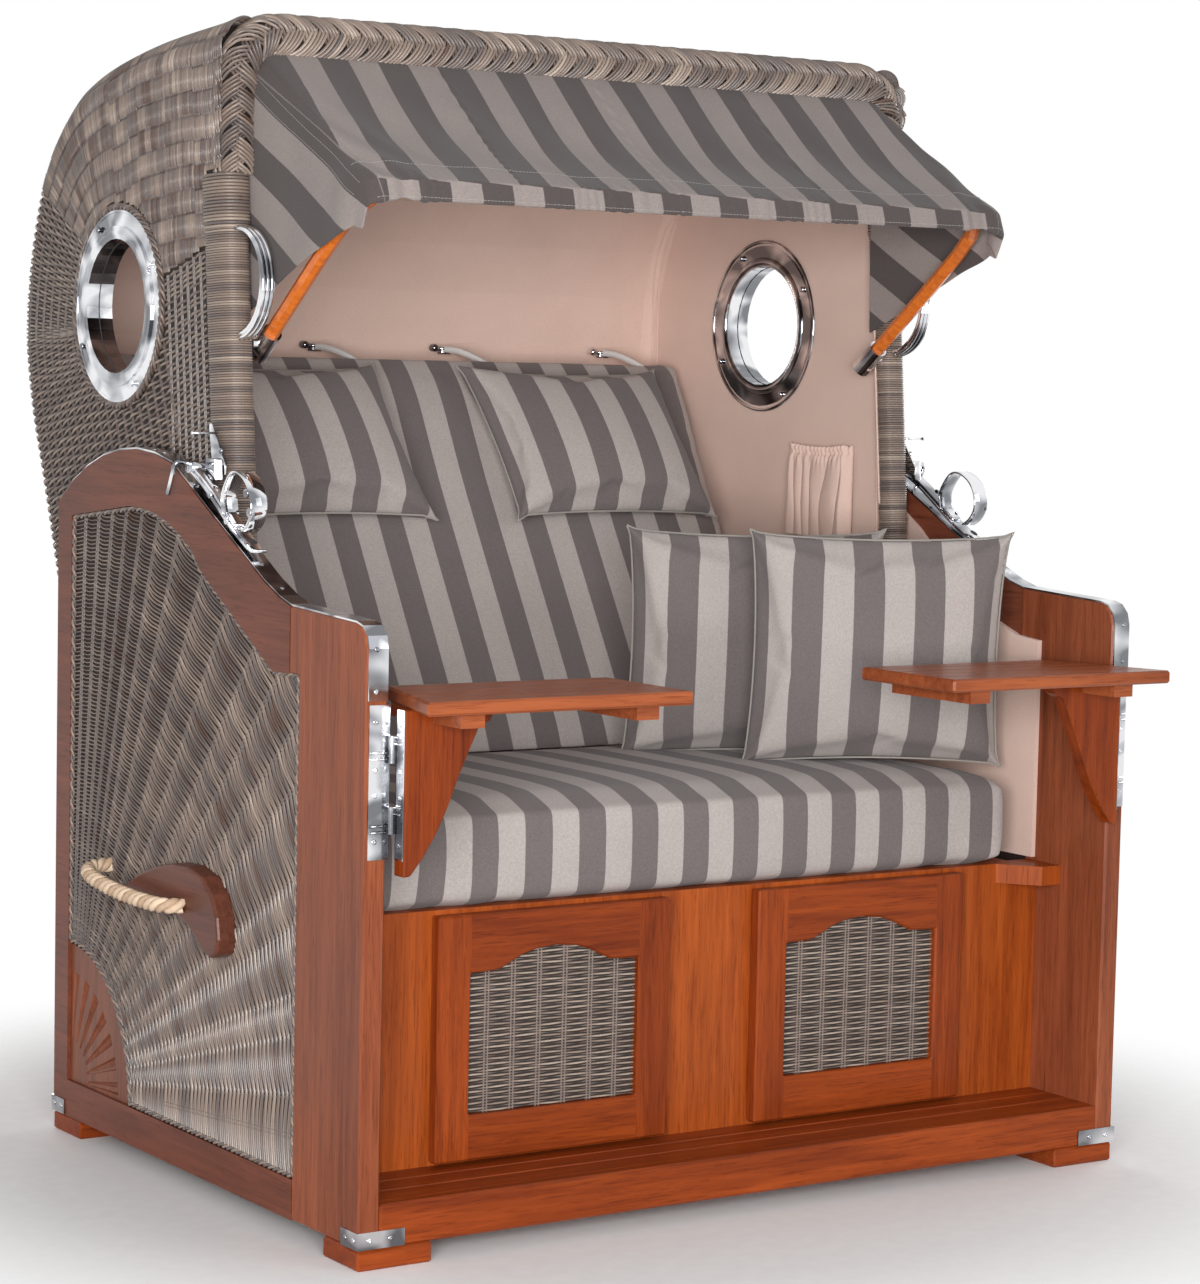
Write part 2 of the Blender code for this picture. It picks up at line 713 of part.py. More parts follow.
def front_stile(side, sign):
    outline = [
        (0, FOOT_HEIGHT), (STILE_WIDTH, FOOT_HEIGHT), (STILE_WIDTH, ARM_UNDER_Z),
        (ARM_JOINT_Y, ARM_UNDER_Z), (ARM_JOINT_Y, ARM_JOINT_Z), *reversed(arm_top_path()),
    ]
    piece = flat(side + "_front_stile", outline, FRAME_THICKNESS, "side")
    put(piece, ROOT, (sign * FRAME_MIDDLE_X, 0, 0), dark_mahogany)
    return round_edges(piece, FRAME_ROUNDING)


def side_frame(side, sign):
    under = arc((PIVOT_Y, PIVOT_Z), ARCH_INNER_RADIUS, ARCH_UNDER_START_ANGLE, ARCH_UNDER_END_ANGLE)
    outer = [(ARM_JOINT_Y + GAP, ARM_JOINT_Z), *arch_top_path()]
    outer += [(BASE_DEPTH, outer[-1][1]), (BASE_DEPTH, FOOT_HEIGHT), (STILE_WIDTH + GAP, FOOT_HEIGHT)]
    inner = [
        (STILE_WIDTH + GAP, RAIL_TOP_Z), (REAR_STILE_Y, RAIL_TOP_Z), (REAR_STILE_Y, REAR_OPENING_Z),
        *reversed(under), *reversed(SWEEP_UNDER_POINTS), (ARM_JOINT_Y + GAP, ARM_UNDER_Z),
    ]
    piece = flat(side + "_side_frame", outer + inner, FRAME_THICKNESS, "side")
    put(piece, ROOT, (sign * FRAME_MIDDLE_X, 0, 0), dark_mahogany)
    return round_edges(piece, FRAME_ROUNDING)


def side_wicker(side, sign):
    under = arc((PIVOT_Y, PIVOT_Z), ARCH_INNER_RADIUS, ARCH_UNDER_START_ANGLE, ARCH_UNDER_END_ANGLE)
    fan = arc((REAR_STILE_Y, RAIL_TOP_Z), FAN_RADIUS, HALF_TURN, QUARTER_TURN, QUARTER_TURN / FAN_STEPS)
    opening = [
        (STILE_WIDTH, RAIL_TOP_Z), *fan, (REAR_STILE_Y, REAR_OPENING_Z), *reversed(under),
        *reversed(SWEEP_UNDER_POINTS), (STILE_WIDTH, ARM_UNDER_Z),
    ]
    outline = offset(opening, GAP, closed=True)
    piece = flat(side + "_side_wicker", outline, WICKER_THICKNESS, "side")
    put(piece, ROOT, (sign * WICKER_MIDDLE_X, 0, 0), wicker)
    return round_edges(piece, FRAME_ROUNDING)


def flute_guide(name, sign, angle):
    """A tapered round-bottomed groove that widens away from the corner."""
    length = FLUTE_END - FLUTE_START
    mesh = taper_mesh(name, FLUTE_NARROW_RADIUS, FLUTE_WIDE_RADIUS, length, FLUTE_SIDES)
    guide = show(name, mesh, GUIDES)
    reach = FLUTE_START + length / 2
    face_x = sign * (FAN_MIDDLE_X + FAN_THICKNESS / 2 + FLUTE_DROP)
    place = (face_x, REAR_STILE_Y - reach * math.cos(angle), RAIL_TOP_Z + reach * math.sin(angle))
    guide.rotation_euler = (QUARTER_TURN - angle, 0, 0)
    return guide_at(guide, place)


def fan_block(side, sign):
    """A quarter disc carved with flutes that spread from the corner."""
    round_side = arc(
        (REAR_STILE_Y - GAP, RAIL_TOP_Z + GAP), FAN_RADIUS - GAP, HALF_TURN, QUARTER_TURN,
        QUARTER_TURN / FAN_STEPS,
    )
    outline = [(REAR_STILE_Y - GAP, RAIL_TOP_Z + GAP), *reversed(round_side)]
    name = side + "_fan_block"
    piece = flat(name, outline, FAN_THICKNESS, "side")
    put(piece, ROOT, (sign * FAN_MIDDLE_X, 0, 0), dark_mahogany)
    pitch = QUARTER_TURN / FLUTE_COUNT
    for index in range(FLUTE_COUNT):
        cut(piece, flute_guide(f"{name}_flute_{index}", sign, pitch * (index + FLUTE_EDGE_SHARE)))
    return piece


def side_lining(side, sign):
    top = arc((PIVOT_Y, PIVOT_Z), LINING_ARC_RADIUS, LINING_ARC_START, LINING_ARC_END)
    outline = [
        (LINING_FRONT_Y, LINING_BOTTOM_Z), *LINING_TOP_POINTS, *top, (top[-1][0], LINING_BOTTOM_Z),
    ]
    pin_hole = arc(
        (PIVOT_Y, PIVOT_Z), PIN_HOLE_RADIUS, 0, FULL_TURN, FULL_TURN / PIN_SIDES
    )[:-1]
    name = side + "_side_lining"
    piece = flat(name, outline, LINING_BOARD_THICKNESS, "side", holes=(pin_hole,))
    return put(piece, ROOT, (sign * LINING_BOARD_MIDDLE_X, 0, 0), lining_cloth)


def edge_strip(side, sign):
    """Thin metal strip over the arch, down the sweep and down the post's front."""
    route = [(0, STRIP_END_Z), *arm_top_path(), (ARM_JOINT_Y, ARM_JOINT_Z), *arch_top_path()]
    near = offset(route, GAP, closed=False)
    far = offset(route, GAP + STRIP_THICKNESS, closed=False)
    piece = flat(side + "_edge_strip", near + far[::-1], STRIP_WIDTH, "side")
    return put(piece, ROOT, (sign * FRAME_MIDDLE_X, 0, 0), chrome)


def table_hinge(side, sign):
    """Fixed leaf on the post with its two knuckles."""
    middle_x = (HINGE_PLATE_INNER_X + HINGE_PLATE_OUTER_X) / 2
    middle_z = (HINGE_TOP_Z + HINGE_BOTTOM_Z) / 2
    low = (sign * middle_x - (HINGE_PLATE_OUTER_X - middle_x), -GAP - HINGE_PLATE_THICKNESS, HINGE_BOTTOM_Z)
    high = (sign * middle_x + (HINGE_PLATE_OUTER_X - middle_x), -GAP, HINGE_TOP_Z)
    name = side + "_table_hinge"
    piece = box(name, low, high, ROOT, chrome)
    for height in KNUCKLE_HEIGHTS:
        knuckle = rod_mesh(name, KNUCKLE_RADIUS, KNUCKLE_LENGTH, KNUCKLE_SIDES)
        guide = show(f"{name}_knuckle_{height}", knuckle, GUIDES)
        unite(piece, guide_at(guide, (sign * HINGE_AXIS_X, HINGE_AXIS_Y, height)))
    return piece


def carry_handle(side, sign):
    piece = flat(side + "_carry_handle", HANDLE_OUTLINE, HANDLE_THICKNESS, "side")
    put(piece, ROOT, (sign * HANDLE_MIDDLE_X, 0, 0), dark_mahogany)
    return round_edges(piece, HANDLE_ROUNDING, steps=2)


def carry_rope(side, sign):
    """Rope grip from the block's face to the wicker behind it."""
    front_x = HANDLE_MIDDLE_X + HANDLE_THICKNESS / 2 + GAP
    rear_x = WICKER_MIDDLE_X + WICKER_THICKNESS / 2 + GAP
    path = []
    for along, lift in zip(ROPE_BEND_SHARES, ROPE_LIFT_SHARES):
        start_x = front_x + (rear_x - front_x) * (along > ROPE_TURN_SHARE)
        path.append((
            sign * (start_x + (ROPE_STAND_X - start_x) * lift),
            ROPE_FRONT_Y + (ROPE_REAR_Y - ROPE_FRONT_Y) * along,
            ROPE_FRONT_Z + (ROPE_REAR_Z - ROPE_FRONT_Z) * along - ROPE_SAG * math.sin(HALF_TURN * along),
        ))
    piece = show(side + "_carry_rope", tube_mesh(side + "_carry_rope", path, ROPE_RADIUS))
    return put(shade(piece), ROOT, (0, 0, 0), rope_fibre)


def foot(side, sign, end, near_y):
    outer = HALF_WIDTH
    inner = HALF_WIDTH - FOOT_LENGTH_X
    low = (min(sign * outer, sign * inner), near_y, 0)
    high = (max(sign * outer, sign * inner), near_y + FOOT_LENGTH_Y, FOOT_HEIGHT - GAP)
    return box(f"{side}_{end}_foot", low, high, ROOT, mahogany, FRAME_ROUNDING)


def bracket(side, sign, end, corner_y, inward):
    """L-shaped metal strap round a bottom corner."""
    near = GAP
    far = GAP + BRACKET_THICKNESS
    outline = [
        (far, -far), (far, BRACKET_SIDE_LEG), (near, BRACKET_SIDE_LEG), (near, -near),
        (-BRACKET_FRONT_LEG, -near), (-BRACKET_FRONT_LEG, -far),
    ]
    placed = [(sign * (HALF_WIDTH + across), corner_y + inward * along) for across, along in outline]
    piece = flat(f"{side}_{end}_bracket", placed, BRACKET_HEIGHT, "top")
    return put(piece, ROOT, (0, 0, BRACKET_BOTTOM_Z + BRACKET_HEIGHT / 2), chrome)


def base_sides():
    for side, sign in SIDES:
        front_stile(side, sign)
        side_frame(side, sign)
        side_wicker(side, sign)
        fan_block(side, sign)
        side_lining(side, sign)
        edge_strip(side, sign)
        table_hinge(side, sign)
        carry_handle(side, sign)
        carry_rope(side, sign)
        foot(side, sign, "front", 0)
        foot(side, sign, "rear", BASE_DEPTH - FOOT_LENGTH_Y)
        bracket(side, sign, "front", 0, 1)
        bracket(side, sign, "rear", BASE_DEPTH, -1)


# Boards between the sides

def front_board():
    low = (-FRAME_INNER_X + GAP, 0, FOOT_HEIGHT)
    high = (FRAME_INNER_X - GAP, FRONT_BOARD_THICKNESS, FRONT_BOARD_TOP_Z)
    return box("front_board", low, high, ROOT, mahogany, FRAME_ROUNDING)


def floor_board():
    """Three foot boards in one, parted by grooves that run across the chair."""
    front = FRONT_BOARD_THICKNESS + GAP
    rear = PANEL_FRONT_Y - GAP
    bottom = FRONT_BOARD_TOP_Z - FLOOR_BOARD_THICKNESS
    outline = [(front, bottom), (rear, bottom), (rear, FRONT_BOARD_TOP_Z)]
    for share in reversed(FLOOR_GROOVE_SHARES):
        middle = front + (rear - front) * share
        outline += [
            (middle + FLOOR_GROOVE_WIDTH / 2, FRONT_BOARD_TOP_Z),
            (middle, FRONT_BOARD_TOP_Z - FLOOR_GROOVE_DEPTH),
            (middle - FLOOR_GROOVE_WIDTH / 2, FRONT_BOARD_TOP_Z),
        ]
    outline.append((front, FRONT_BOARD_TOP_Z))
    piece = flat("floor_board", outline, (FRAME_INNER_X - GAP) * 2, "side")
    return put(piece, ROOT, (0, 0, 0), mahogany)


def rectangle(low_x, low_z, high_x, high_z):
    return [(low_x, low_z), (high_x, low_z), (high_x, high_z), (low_x, high_z)]


def bay_outline(middle_x):
    return rectangle(middle_x - BAY_WIDTH / 2, BAY_BOTTOM_Z, middle_x + BAY_WIDTH / 2, BAY_TOP_Z)


def front_panel():
    """Seat front with two footrest bays, corner ledges and a top moulding."""
    half_x = FRAME_INNER_X - GAP
    outline = rectangle(-half_x, FOOT_HEIGHT, half_x, PANEL_TOP_Z)
    holes = (bay_outline(-BAY_MIDDLE_X), bay_outline(BAY_MIDDLE_X))
    piece = flat("front_panel", outline, PANEL_THICKNESS, "front", holes=holes)
    put(piece, ROOT, (0, PANEL_FRONT_Y + PANEL_THICKNESS / 2, 0), mahogany)
    height = PANEL_TOP_Z - LEDGE_DROP - LEDGE_BOTTOM_Z
    middle_y = PANEL_FRONT_Y + PANEL_THICKNESS / 2
    for side, sign in SIDES:
        ledge = [
            (LEDGE_INNER_X, middle_y), (LEDGE_INNER_X, PANEL_FRONT_Y), (LEDGE_NOSE_X, LEDGE_FRONT_Y),
            (half_x - LEDGE_DROP, LEDGE_FRONT_Y), (half_x - LEDGE_DROP, middle_y),
        ]
        shape = ledge if sign > 0 else mirrored(ledge)
        guide = flat(side + "_ledge", shape, height, "top", group=GUIDES)
        unite(piece, guide_at(guide, (0, 0, LEDGE_BOTTOM_Z + height / 2)))
    return piece


def seat_carcase():
    """Seat board over the two footrest bays, with light hollow compartments."""
    outline = rectangle(-CARCASE_HALF_X, CARCASE_BOTTOM_Z, CARCASE_HALF_X, PANEL_TOP_Z)
    bay_outer = BAY_MIDDLE_X + BAY_WIDTH / 2
    bay_inner = BAY_MIDDLE_X - BAY_WIDTH / 2
    end = rectangle(bay_outer + CARCASE_WALL, BAY_BOTTOM_Z, CARCASE_HALF_X - CARCASE_WALL, BAY_TOP_Z)
    middle = rectangle(CARCASE_WALL - bay_inner, BAY_BOTTOM_Z, bay_inner - CARCASE_WALL, BAY_TOP_Z)
    holes = (bay_outline(-BAY_MIDDLE_X), bay_outline(BAY_MIDDLE_X), end, mirrored(end), middle)
    front = PANEL_FRONT_Y + PANEL_THICKNESS + GAP
    piece = flat("seat_carcase", outline, CARCASE_REAR_Y - front, "front", holes=holes)
    return put(piece, ROOT, (0, (front + CARCASE_REAR_Y) / 2, 0), mahogany)


def rear_panel():
    low = (-FRAME_INNER_X + GAP, BASE_DEPTH - REAR_PANEL_THICKNESS, REAR_PANEL_BOTTOM_Z)
    high = (FRAME_INNER_X - GAP, BASE_DEPTH, REAR_PANEL_TOP_Z)
    return box("rear_panel", low, high, ROOT, mahogany, FRAME_ROUNDING)


def pivot_pin(side, sign):
    """Headed pin through the hood wall and the base lining."""
    head = PIN_HEAD_OUTER_X - PIN_HEAD_INNER_X
    name = side + "_pivot_pin"
    piece = show(name, rod_mesh(name, PIN_RADIUS, PIN_OUTER_X - PIN_HEAD_INNER_X, PIN_SIDES))
    piece.rotation_euler = (0, QUARTER_TURN, 0)
    middle_x = (PIN_OUTER_X + PIN_HEAD_INNER_X) / 2
    put(piece, ROOT, (sign * middle_x, PIVOT_Y, PIVOT_Z), steel)
    head_x = (PIN_HEAD_OUTER_X + PIN_HEAD_INNER_X) / 2
    place = (sign * head_x, PIVOT_Y, PIVOT_Z)
    unite(piece, cross_rod_guide(name + "_head", PIN_HEAD_RADIUS, head, place, PIN_SIDES))
    return piece


# Cushions

def subdivided_block(name, cuts):
    """A block from -1 to 1 each way, divided evenly, for a cushion's form."""
    form = bmesh.new()
    bmesh.ops.create_cube(form, size=2)
    bmesh.ops.subdivide_edges(form, edges=form.edges[:], cuts=cuts, use_grid_fill=True)
    return form


def shaped(name, form, place_of):
    for corner in form.verts:
        corner.co = Vector(place_of(*corner.co))
    return shade(show(name, mesh_of(name, form)))


def boxed_cushion(name, half_x, half_y, thickness, crown):
    """Boxed cushion with a crowned top and rounded, slightly drawn-in walls."""
    def place_of(u, v, w):
        rounding = BOXED_ROUNDING_SHARE * w ** 4
        crowned = (1 - u ** 4) * (1 - v ** 4)
        flat_half = thickness / 2 * (1 - BOXED_ROUNDING_SHARE * 2 * (abs(u) ** 8 + abs(v) ** 8))
        return (
            u * half_x * (1 - rounding * thickness / half_x),
            v * half_y * (1 - rounding * thickness / half_y),
            w * flat_half + max(w, 0) * crown * crowned,
        )
    return shaped(name, subdivided_block(name, BOXED_CUTS), place_of)


def loose_pillow(name, half_x, half_y, loft):
    """Pillow with a knife edge, full middle and sides drawn in between corners."""
    def place_of(u, v, w):
        fullness = ((1 - u * u) * (1 - v * v)) ** PILLOW_FULLNESS_SHARE
        return (
            u * half_x * (1 - PILLOW_DRAW_SHARE * (1 - v * v)),
            v * half_y * (1 - PILLOW_DRAW_SHARE * (1 - u * u)),
            w * (PILLOW_FLANGE + (loft - PILLOW_FLANGE) * fullness) / 2,
        )
    return shaped(name, subdivided_block(name, PILLOW_CUTS), place_of)


def seat_cushion():
    half_y = (SEAT_REAR_Y - SEAT_FRONT_Y) / 2
    piece = boxed_cushion("seat_cushion", SEAT_HALF_X, half_y, SEAT_THICKNESS, SEAT_CROWN)
    place = (0, SEAT_FRONT_Y + half_y, SEAT_UNDER_Z + SEAT_THICKNESS / 2)
    return put(piece, ROOT, place, striped_cloth)


def throw_pillow(end, middle_x, middle_y):
    piece = loose_pillow(end + "_throw_pillow", THROW_WIDTH / 2, THROW_HEIGHT / 2, THROW_THICKNESS)
    piece.rotation_euler = (QUARTER_TURN + THROW_LEAN, 0, THROW_TURN)
    place = (middle_x, middle_y, THROW_FOOT_Z + THROW_HEIGHT / 2 * math.cos(THROW_LEAN))
    return put(piece, ROOT, place, striped_cloth)


def back_point(along, out):
    """A point along the leaning back, a distance out from its rear face."""
    return (
        BACK_FOOT_Y + along * math.sin(BACK_LEAN) + (BACK_THICKNESS - out) * math.cos(BACK_LEAN),
        BACK_FOOT_Z + along * math.cos(BACK_LEAN) - (BACK_THICKNESS - out) * math.sin(BACK_LEAN),
    )


def back_cushion():
    piece = boxed_cushion("back_cushion", BACK_HALF_X, BACK_HEIGHT / 2, BACK_THICKNESS, BACK_CROWN)
    piece.rotation_euler = (QUARTER_TURN - BACK_LEAN, 0, 0)
    return put(piece, HOOD, (0, *back_point(BACK_HEIGHT / 2, BACK_THICKNESS / 2)), striped_cloth)


def neck_pillow(side, middle_x):
    piece = loose_pillow(side + "_neck_pillow", NECK_HALF_X, NECK_HEIGHT / 2, NECK_THICKNESS)
    piece.rotation_euler = (QUARTER_TURN - BACK_LEAN, 0, 0)
    out = BACK_THICKNESS + BACK_CROWN * NECK_CROWN_SHARE + NECK_THICKNESS / 2 + GAP
    place = (middle_x, *back_point(NECK_TOP_ALONG - NECK_HEIGHT / 2, out))
    return put(piece, HOOD, place, striped_cloth)


# Hood

def hood_block(name, outline, rounded, half_x, radius, group):
    """A block across the chair whose top and rear end edges are rounded over."""
    mesh = outline_mesh(name, outline, half_x * 2)
    form = bmesh.new()
    form.from_mesh(mesh)
    spots = [Vector(point) for point in rounded]

    def on_profile(corner):
        return any((Vector(corner.co[:2]) - spot).length < NEAR for spot in spots)

    def along_end(edge):
        first, second = edge.verts
        return abs(first.co.z - second.co.z) < WELD and on_profile(first) and on_profile(second)

    ends = [edge for edge in form.edges if along_end(edge)]
    bmesh.ops.bevel(
        form, geom=ends, offset=radius, offset_type="OFFSET", segments=HOOD_CORNER_STEPS,
        profile=ROUND_PROFILE_SHARE, affect="EDGES", clamp_overlap=True,
    )
    bmesh.ops.recalc_face_normals(form, faces=form.faces)
    form.to_mesh(mesh)
    form.free()
    piece = show(name, mesh, group)
    piece.rotation_euler = (QUARTER_TURN, 0, QUARTER_TURN)
    return piece


def hollow_guide(name, depth):
    """The space inside the hood, a depth in from its skin, open in front and below."""
    inner = offset(HOOD_PROFILE[::-1], depth, closed=False)
    foot_y, foot_z = inner[0]
    front_y = HOOD_LOWER_EDGE[-1][0] - HOLLOW_OVERRUN
    bottom_z = HOOD_LOWER_EDGE[2][1] - OVERRUN
    rise = (inner[1][0] - foot_y) / (inner[1][1] - foot_z)
    low = (foot_y - (foot_z - bottom_z) * rise, bottom_z)
    rounded = [low, *inner[1:], (front_y, inner[-1][1])]
    outline = [(front_y, bottom_z), *rounded]
    radius = HOOD_CORNER_RADIUS - depth
    half_x = HOOD_HALF_X - depth
    return guide_at(hood_block(name, outline, rounded, half_x, radius, GUIDES), (0, 0, 0))


def wall_cuts(piece):
    """Porthole openings and pivot holes through both walls."""
    across = HOOD_HALF_X * 2 + OVERRUN
    place = (0, PORT_Y, PORT_Z)
    cut(piece, cross_rod_guide(piece.name + "_port", PORT_HOLE_RADIUS, across, place, PORT_STEPS))
    place = (0, PIVOT_Y, PIVOT_Z)
    cut(piece, cross_rod_guide(piece.name + "_pivot", PIN_HOLE_RADIUS, across, place, PIN_SIDES))


def hood_shell():
    """Woven shell whose front edge runs into its own wrapped posts and plaited border."""
    profile = [(HOOD_PROFILE[0][0] - RIM_LAP, HOOD_PROFILE[0][1]), *HOOD_PROFILE[1:]]
    front = [(along - RIM_LAP, height) for along, height in HOOD_FRONT_EDGE]
    outline = [*profile[::-1], *front[::-1], *HOOD_LOWER_EDGE[::-1]]
    piece = hood_block("hood_shell", outline, profile, HOOD_HALF_X, HOOD_CORNER_RADIUS, PARTS)
    put(piece, HOOD, (0, 0, 0), wicker)
    cut(piece, hollow_guide("hood_hollow", HOOD_WALL))
    wall_cuts(piece)
    unite(piece, rim_guide())
    return piece


def hood_lining():
    """Cloth-covered skin inside the shell."""
    depth = HOOD_WALL + GAP
    inner = offset(HOOD_PROFILE[::-1], depth, closed=False)
    inner[-1] = (HOOD_PROFILE[0][0], inner[-1][1])
    outline = [*inner, *HOOD_FRONT_EDGE[::-1], *HOOD_LOWER_EDGE[::-1]]
    radius = HOOD_CORNER_RADIUS - depth
    piece = hood_block("hood_lining", outline, inner, HOOD_HALF_X - depth, radius, PARTS)
    put(piece, HOOD, (0, 0, 0), lining_cloth)
    cut(piece, hollow_guide("lining_hollow", depth + LINING_THICKNESS))
    wall_cuts(piece)
    return piece


def rim_guide():
    """Wrapped posts that swell into the plaited border across the top."""
    left = [(-RIM_MIDDLE_X, along, height) for along, height in RIM_POINTS]
    corner = arc(
        (-RIM_MIDDLE_X + RIM_CORNER_RADIUS, RIM_TOP_Z - RIM_CORNER_RADIUS), RIM_CORNER_RADIUS,
        HALF_TURN, QUARTER_TURN, QUARTER_TURN / RIM_CORNER_STEPS,
    )
    braid_y = RIM_POINTS[-1][0]
    left += [(across, braid_y, height) for across, height in corner[1:]]
    span = -left[-1][0] * 2 / RIM_SPAN_STEPS
    across = [(left[-1][0] + span * step, braid_y, RIM_TOP_Z) for step in range(1, RIM_SPAN_STEPS)]
    path = left + across + mirrored(left)[::-1]
    half_radii = [RIM_POST_RADIUS] * RIM_POST_COUNT
    half_radii += [RIM_COLLAR_RADIUS] * (RIM_COLLAR_COUNT - RIM_POST_COUNT)
    half_radii += [RIM_BRAID_RADIUS] * (len(left) - RIM_COLLAR_COUNT)
    radii = half_radii + [RIM_BRAID_RADIUS] * len(across) + half_radii[::-1]
    mesh = tube_mesh("hood_border", path, RIM_BRAID_RADIUS, radii)
    return guide_at(show("hood_border", mesh, GUIDES), (0, 0, 0))


def hood_grip(side, sign):
    """Half-round metal band on the front of a post, to pull the hood by."""
    lower, upper = (Vector(point) for point in RIM_POINTS[GRIP_SPAN])
    axis = (upper - lower).normalized()
    ahead = Vector((-axis.y, axis.x))
    share = (HOOD_GRIP_Z - lower.y) / (upper.y - lower.y)
    middle = lower.lerp(upper, share) + ahead * (RIM_POST_RADIUS + GAP)

    def bow(radius):
        turned = arc((0, 0), radius, 0, HALF_TURN, HALF_TURN / HOOD_GRIP_STEPS)
        return [tuple(middle + axis * along + ahead * out) for along, out in turned]

    outline = bow(HOOD_GRIP_RADIUS) + bow(HOOD_GRIP_RADIUS - HOOD_GRIP_THICKNESS)[::-1]
    piece = flat(side + "_hood_grip", outline, HOOD_GRIP_WIDTH, "side")
    put(piece, HOOD, (sign * RIM_MIDDLE_X, 0, 0), chrome)
    return round_edges(piece, HOOD_GRIP_ROUNDING)


def porthole(side, sign):
    """Flanged tube turned about the porthole's axis and clamped over the wall."""
    wall_out = HOOD_HALF_X + GAP
    wall_in = HOOD_INNER_X - GAP
    face_out = wall_out + PORT_FLANGE_THICKNESS
    face_in = wall_in - PORT_FLANGE_THICKNESS
    ring_out = wall_out + PORT_RING_RISE
    profile = [
        (PORT_CLEAR_RADIUS, ring_out), (PORT_RING_RADIUS, ring_out), (PORT_RING_RADIUS, face_out),
        (PORT_FLANGE_RADIUS, face_out), (PORT_FLANGE_RADIUS, wall_out), (PORT_TUBE_RADIUS, wall_out),
        (PORT_TUBE_RADIUS, wall_in), (PORT_INNER_FLANGE_RADIUS, wall_in),
        (PORT_INNER_FLANGE_RADIUS, face_in), (PORT_CLEAR_RADIUS, face_in), (PORT_CLEAR_RADIUS, ring_out),
    ]
    name = side + "_porthole"
    mesh = bpy.data.meshes.new(name)
    corners = [(radius, 0, out - HOOD_HALF_X) for radius, out in profile]
    mesh.from_pydata(corners, [(index, index + 1) for index in range(len(corners[1:]))], [])
    piece = show(name, mesh)
    turn = piece.modifiers.new("turned", "SCREW")
    turn.axis = "Z"
    turn.steps = PORT_STEPS
    turn.render_steps = PORT_STEPS
    turn.use_merge_vertices = True
    turn.merge_threshold = WELD
    piece.rotation_euler = (0, sign * QUARTER_TURN, 0)
    return put(piece, HOOD, (sign * HOOD_HALF_X, PORT_Y, PORT_Z), chrome)


def pocket():
    """Gathered cloth pouch on the right lining, open at the top."""
    wall_x = HOOD_INNER_X - GAP
    middle_y = (POCKET_FRONT_Y + POCKET_REAR_Y) / 2
    middle_z = (POCKET_BOTTOM_Z + POCKET_TOP_Z) / 2
    half_y = (POCKET_REAR_Y - POCKET_FRONT_Y) / 2
    half_z = (POCKET_TOP_Z - POCKET_BOTTOM_Z) / 2

    def place_of(u, v, w):
        front = max(-u, 0)
        belly = 1 - POCKET_GATHER_SHARE * w * w * (w > 0)
        folds = POCKET_FOLD_DEPTH * math.cos(POCKET_FOLDS * HALF_TURN * v) * (1 - v * v)
        depth = POCKET_DEPTH * belly * (1 - v ** 4 / 2) + folds
        return (
            wall_x - front * depth if u < 0 else wall_x,
            middle_y + v * half_y,
            middle_z + w * half_z,
        )

    form = subdivided_block("pocket", POCKET_CUTS)
    piece = shaped("lining_pocket", form, place_of)
    put(piece, HOOD, (0, 0, 0), lining_cloth)
    low = (wall_x - POCKET_DEPTH / 2, POCKET_FRONT_Y + OVERRUN, POCKET_BOTTOM_Z + POCKET_CLOTH)
    high = (wall_x - POCKET_CLOTH, POCKET_REAR_Y - OVERRUN, POCKET_TOP_Z + OVERRUN)
    cut(piece, box_guide("pocket_mouth", low, high))
    return piece


def hood():
    hood_shell()
    hood_lining()
    back_cushion()
    for (side, sign), share in zip(SIDES, NECK_MIDDLE_SHARES):
        pivot_pin(side, sign)
        porthole(side, sign)
        hood_grip(side, sign)
        neck_pillow(side, BACK_HALF_X * share)
    pocket()


# Canopy

def canopy_bow():
    """Bent tube whose arms turn in to the bar that carries the canopy's front."""
    path = mirrored(BOW_PATH) + list(BOW_PATH)[::-1]
    piece = show("canopy_bow", tube_mesh("canopy_bow", path, BOW_RADIUS))
    return put(shade(piece), BOW, (0, 0, 0), orange_lacquer)


def bow_ferrule(side, sign):
    """Socket on the end of a bow arm, with the pin that it swings on."""
    start = Vector(BOW_PATH[0])
    reach = Vector(BOW_PATH[1]) - start
    lean = math.atan2(-reach.y, reach.z)
    name = side + "_bow_ferrule"
    piece = show(name, rod_mesh(name, FERRULE_RADIUS, FERRULE_LENGTH, FERRULE_SIDES))
    piece.rotation_euler = (lean, 0, 0)
    put(piece, BOW, (sign * BOW_ARM_X, BOW_AXIS_Y, BOW_AXIS_Z), chrome)
    bore = show(name + "_bore", rod_mesh(name, BOW_RADIUS + GAP, FERRULE_LENGTH, FERRULE_SIDES), GUIDES)
    bore.rotation_euler = (lean, 0, 0)
    direction = reach.normalized()
    along = start + direction * (FERRULE_LENGTH / 2 - GAP)
    cut(piece, guide_at(bore, (sign * BOW_ARM_X, along.y, along.z)))
    inner_x = BOW_ARM_X + FERRULE_RADIUS / 2
    outer_x = RIM_MIDDLE_X - RIM_POST_RADIUS - GAP
    place = (sign * (inner_x + outer_x) / 2, BOW_AXIS_Y, BOW_AXIS_Z)
    pin = cross_rod_guide(name + "_pin", FERRULE_PIN_RADIUS, outer_x - inner_x, place, FERRULE_SIDES)
    unite(piece, pin)
    return piece


def canopy_row(side_points, inner_points):
    """A line of the cloth from side to side; a side point gives its inset from the hood's side."""
    half = [(HOOD_HALF_X - inset, along, height) for inset, along, height in side_points]
    last_x = half[-1][0]
    half += [(last_x * share, *place) for share, place in zip(CANOPY_INNER_SHARES, inner_points)]
    return mirrored(half) + half[-2::-1]


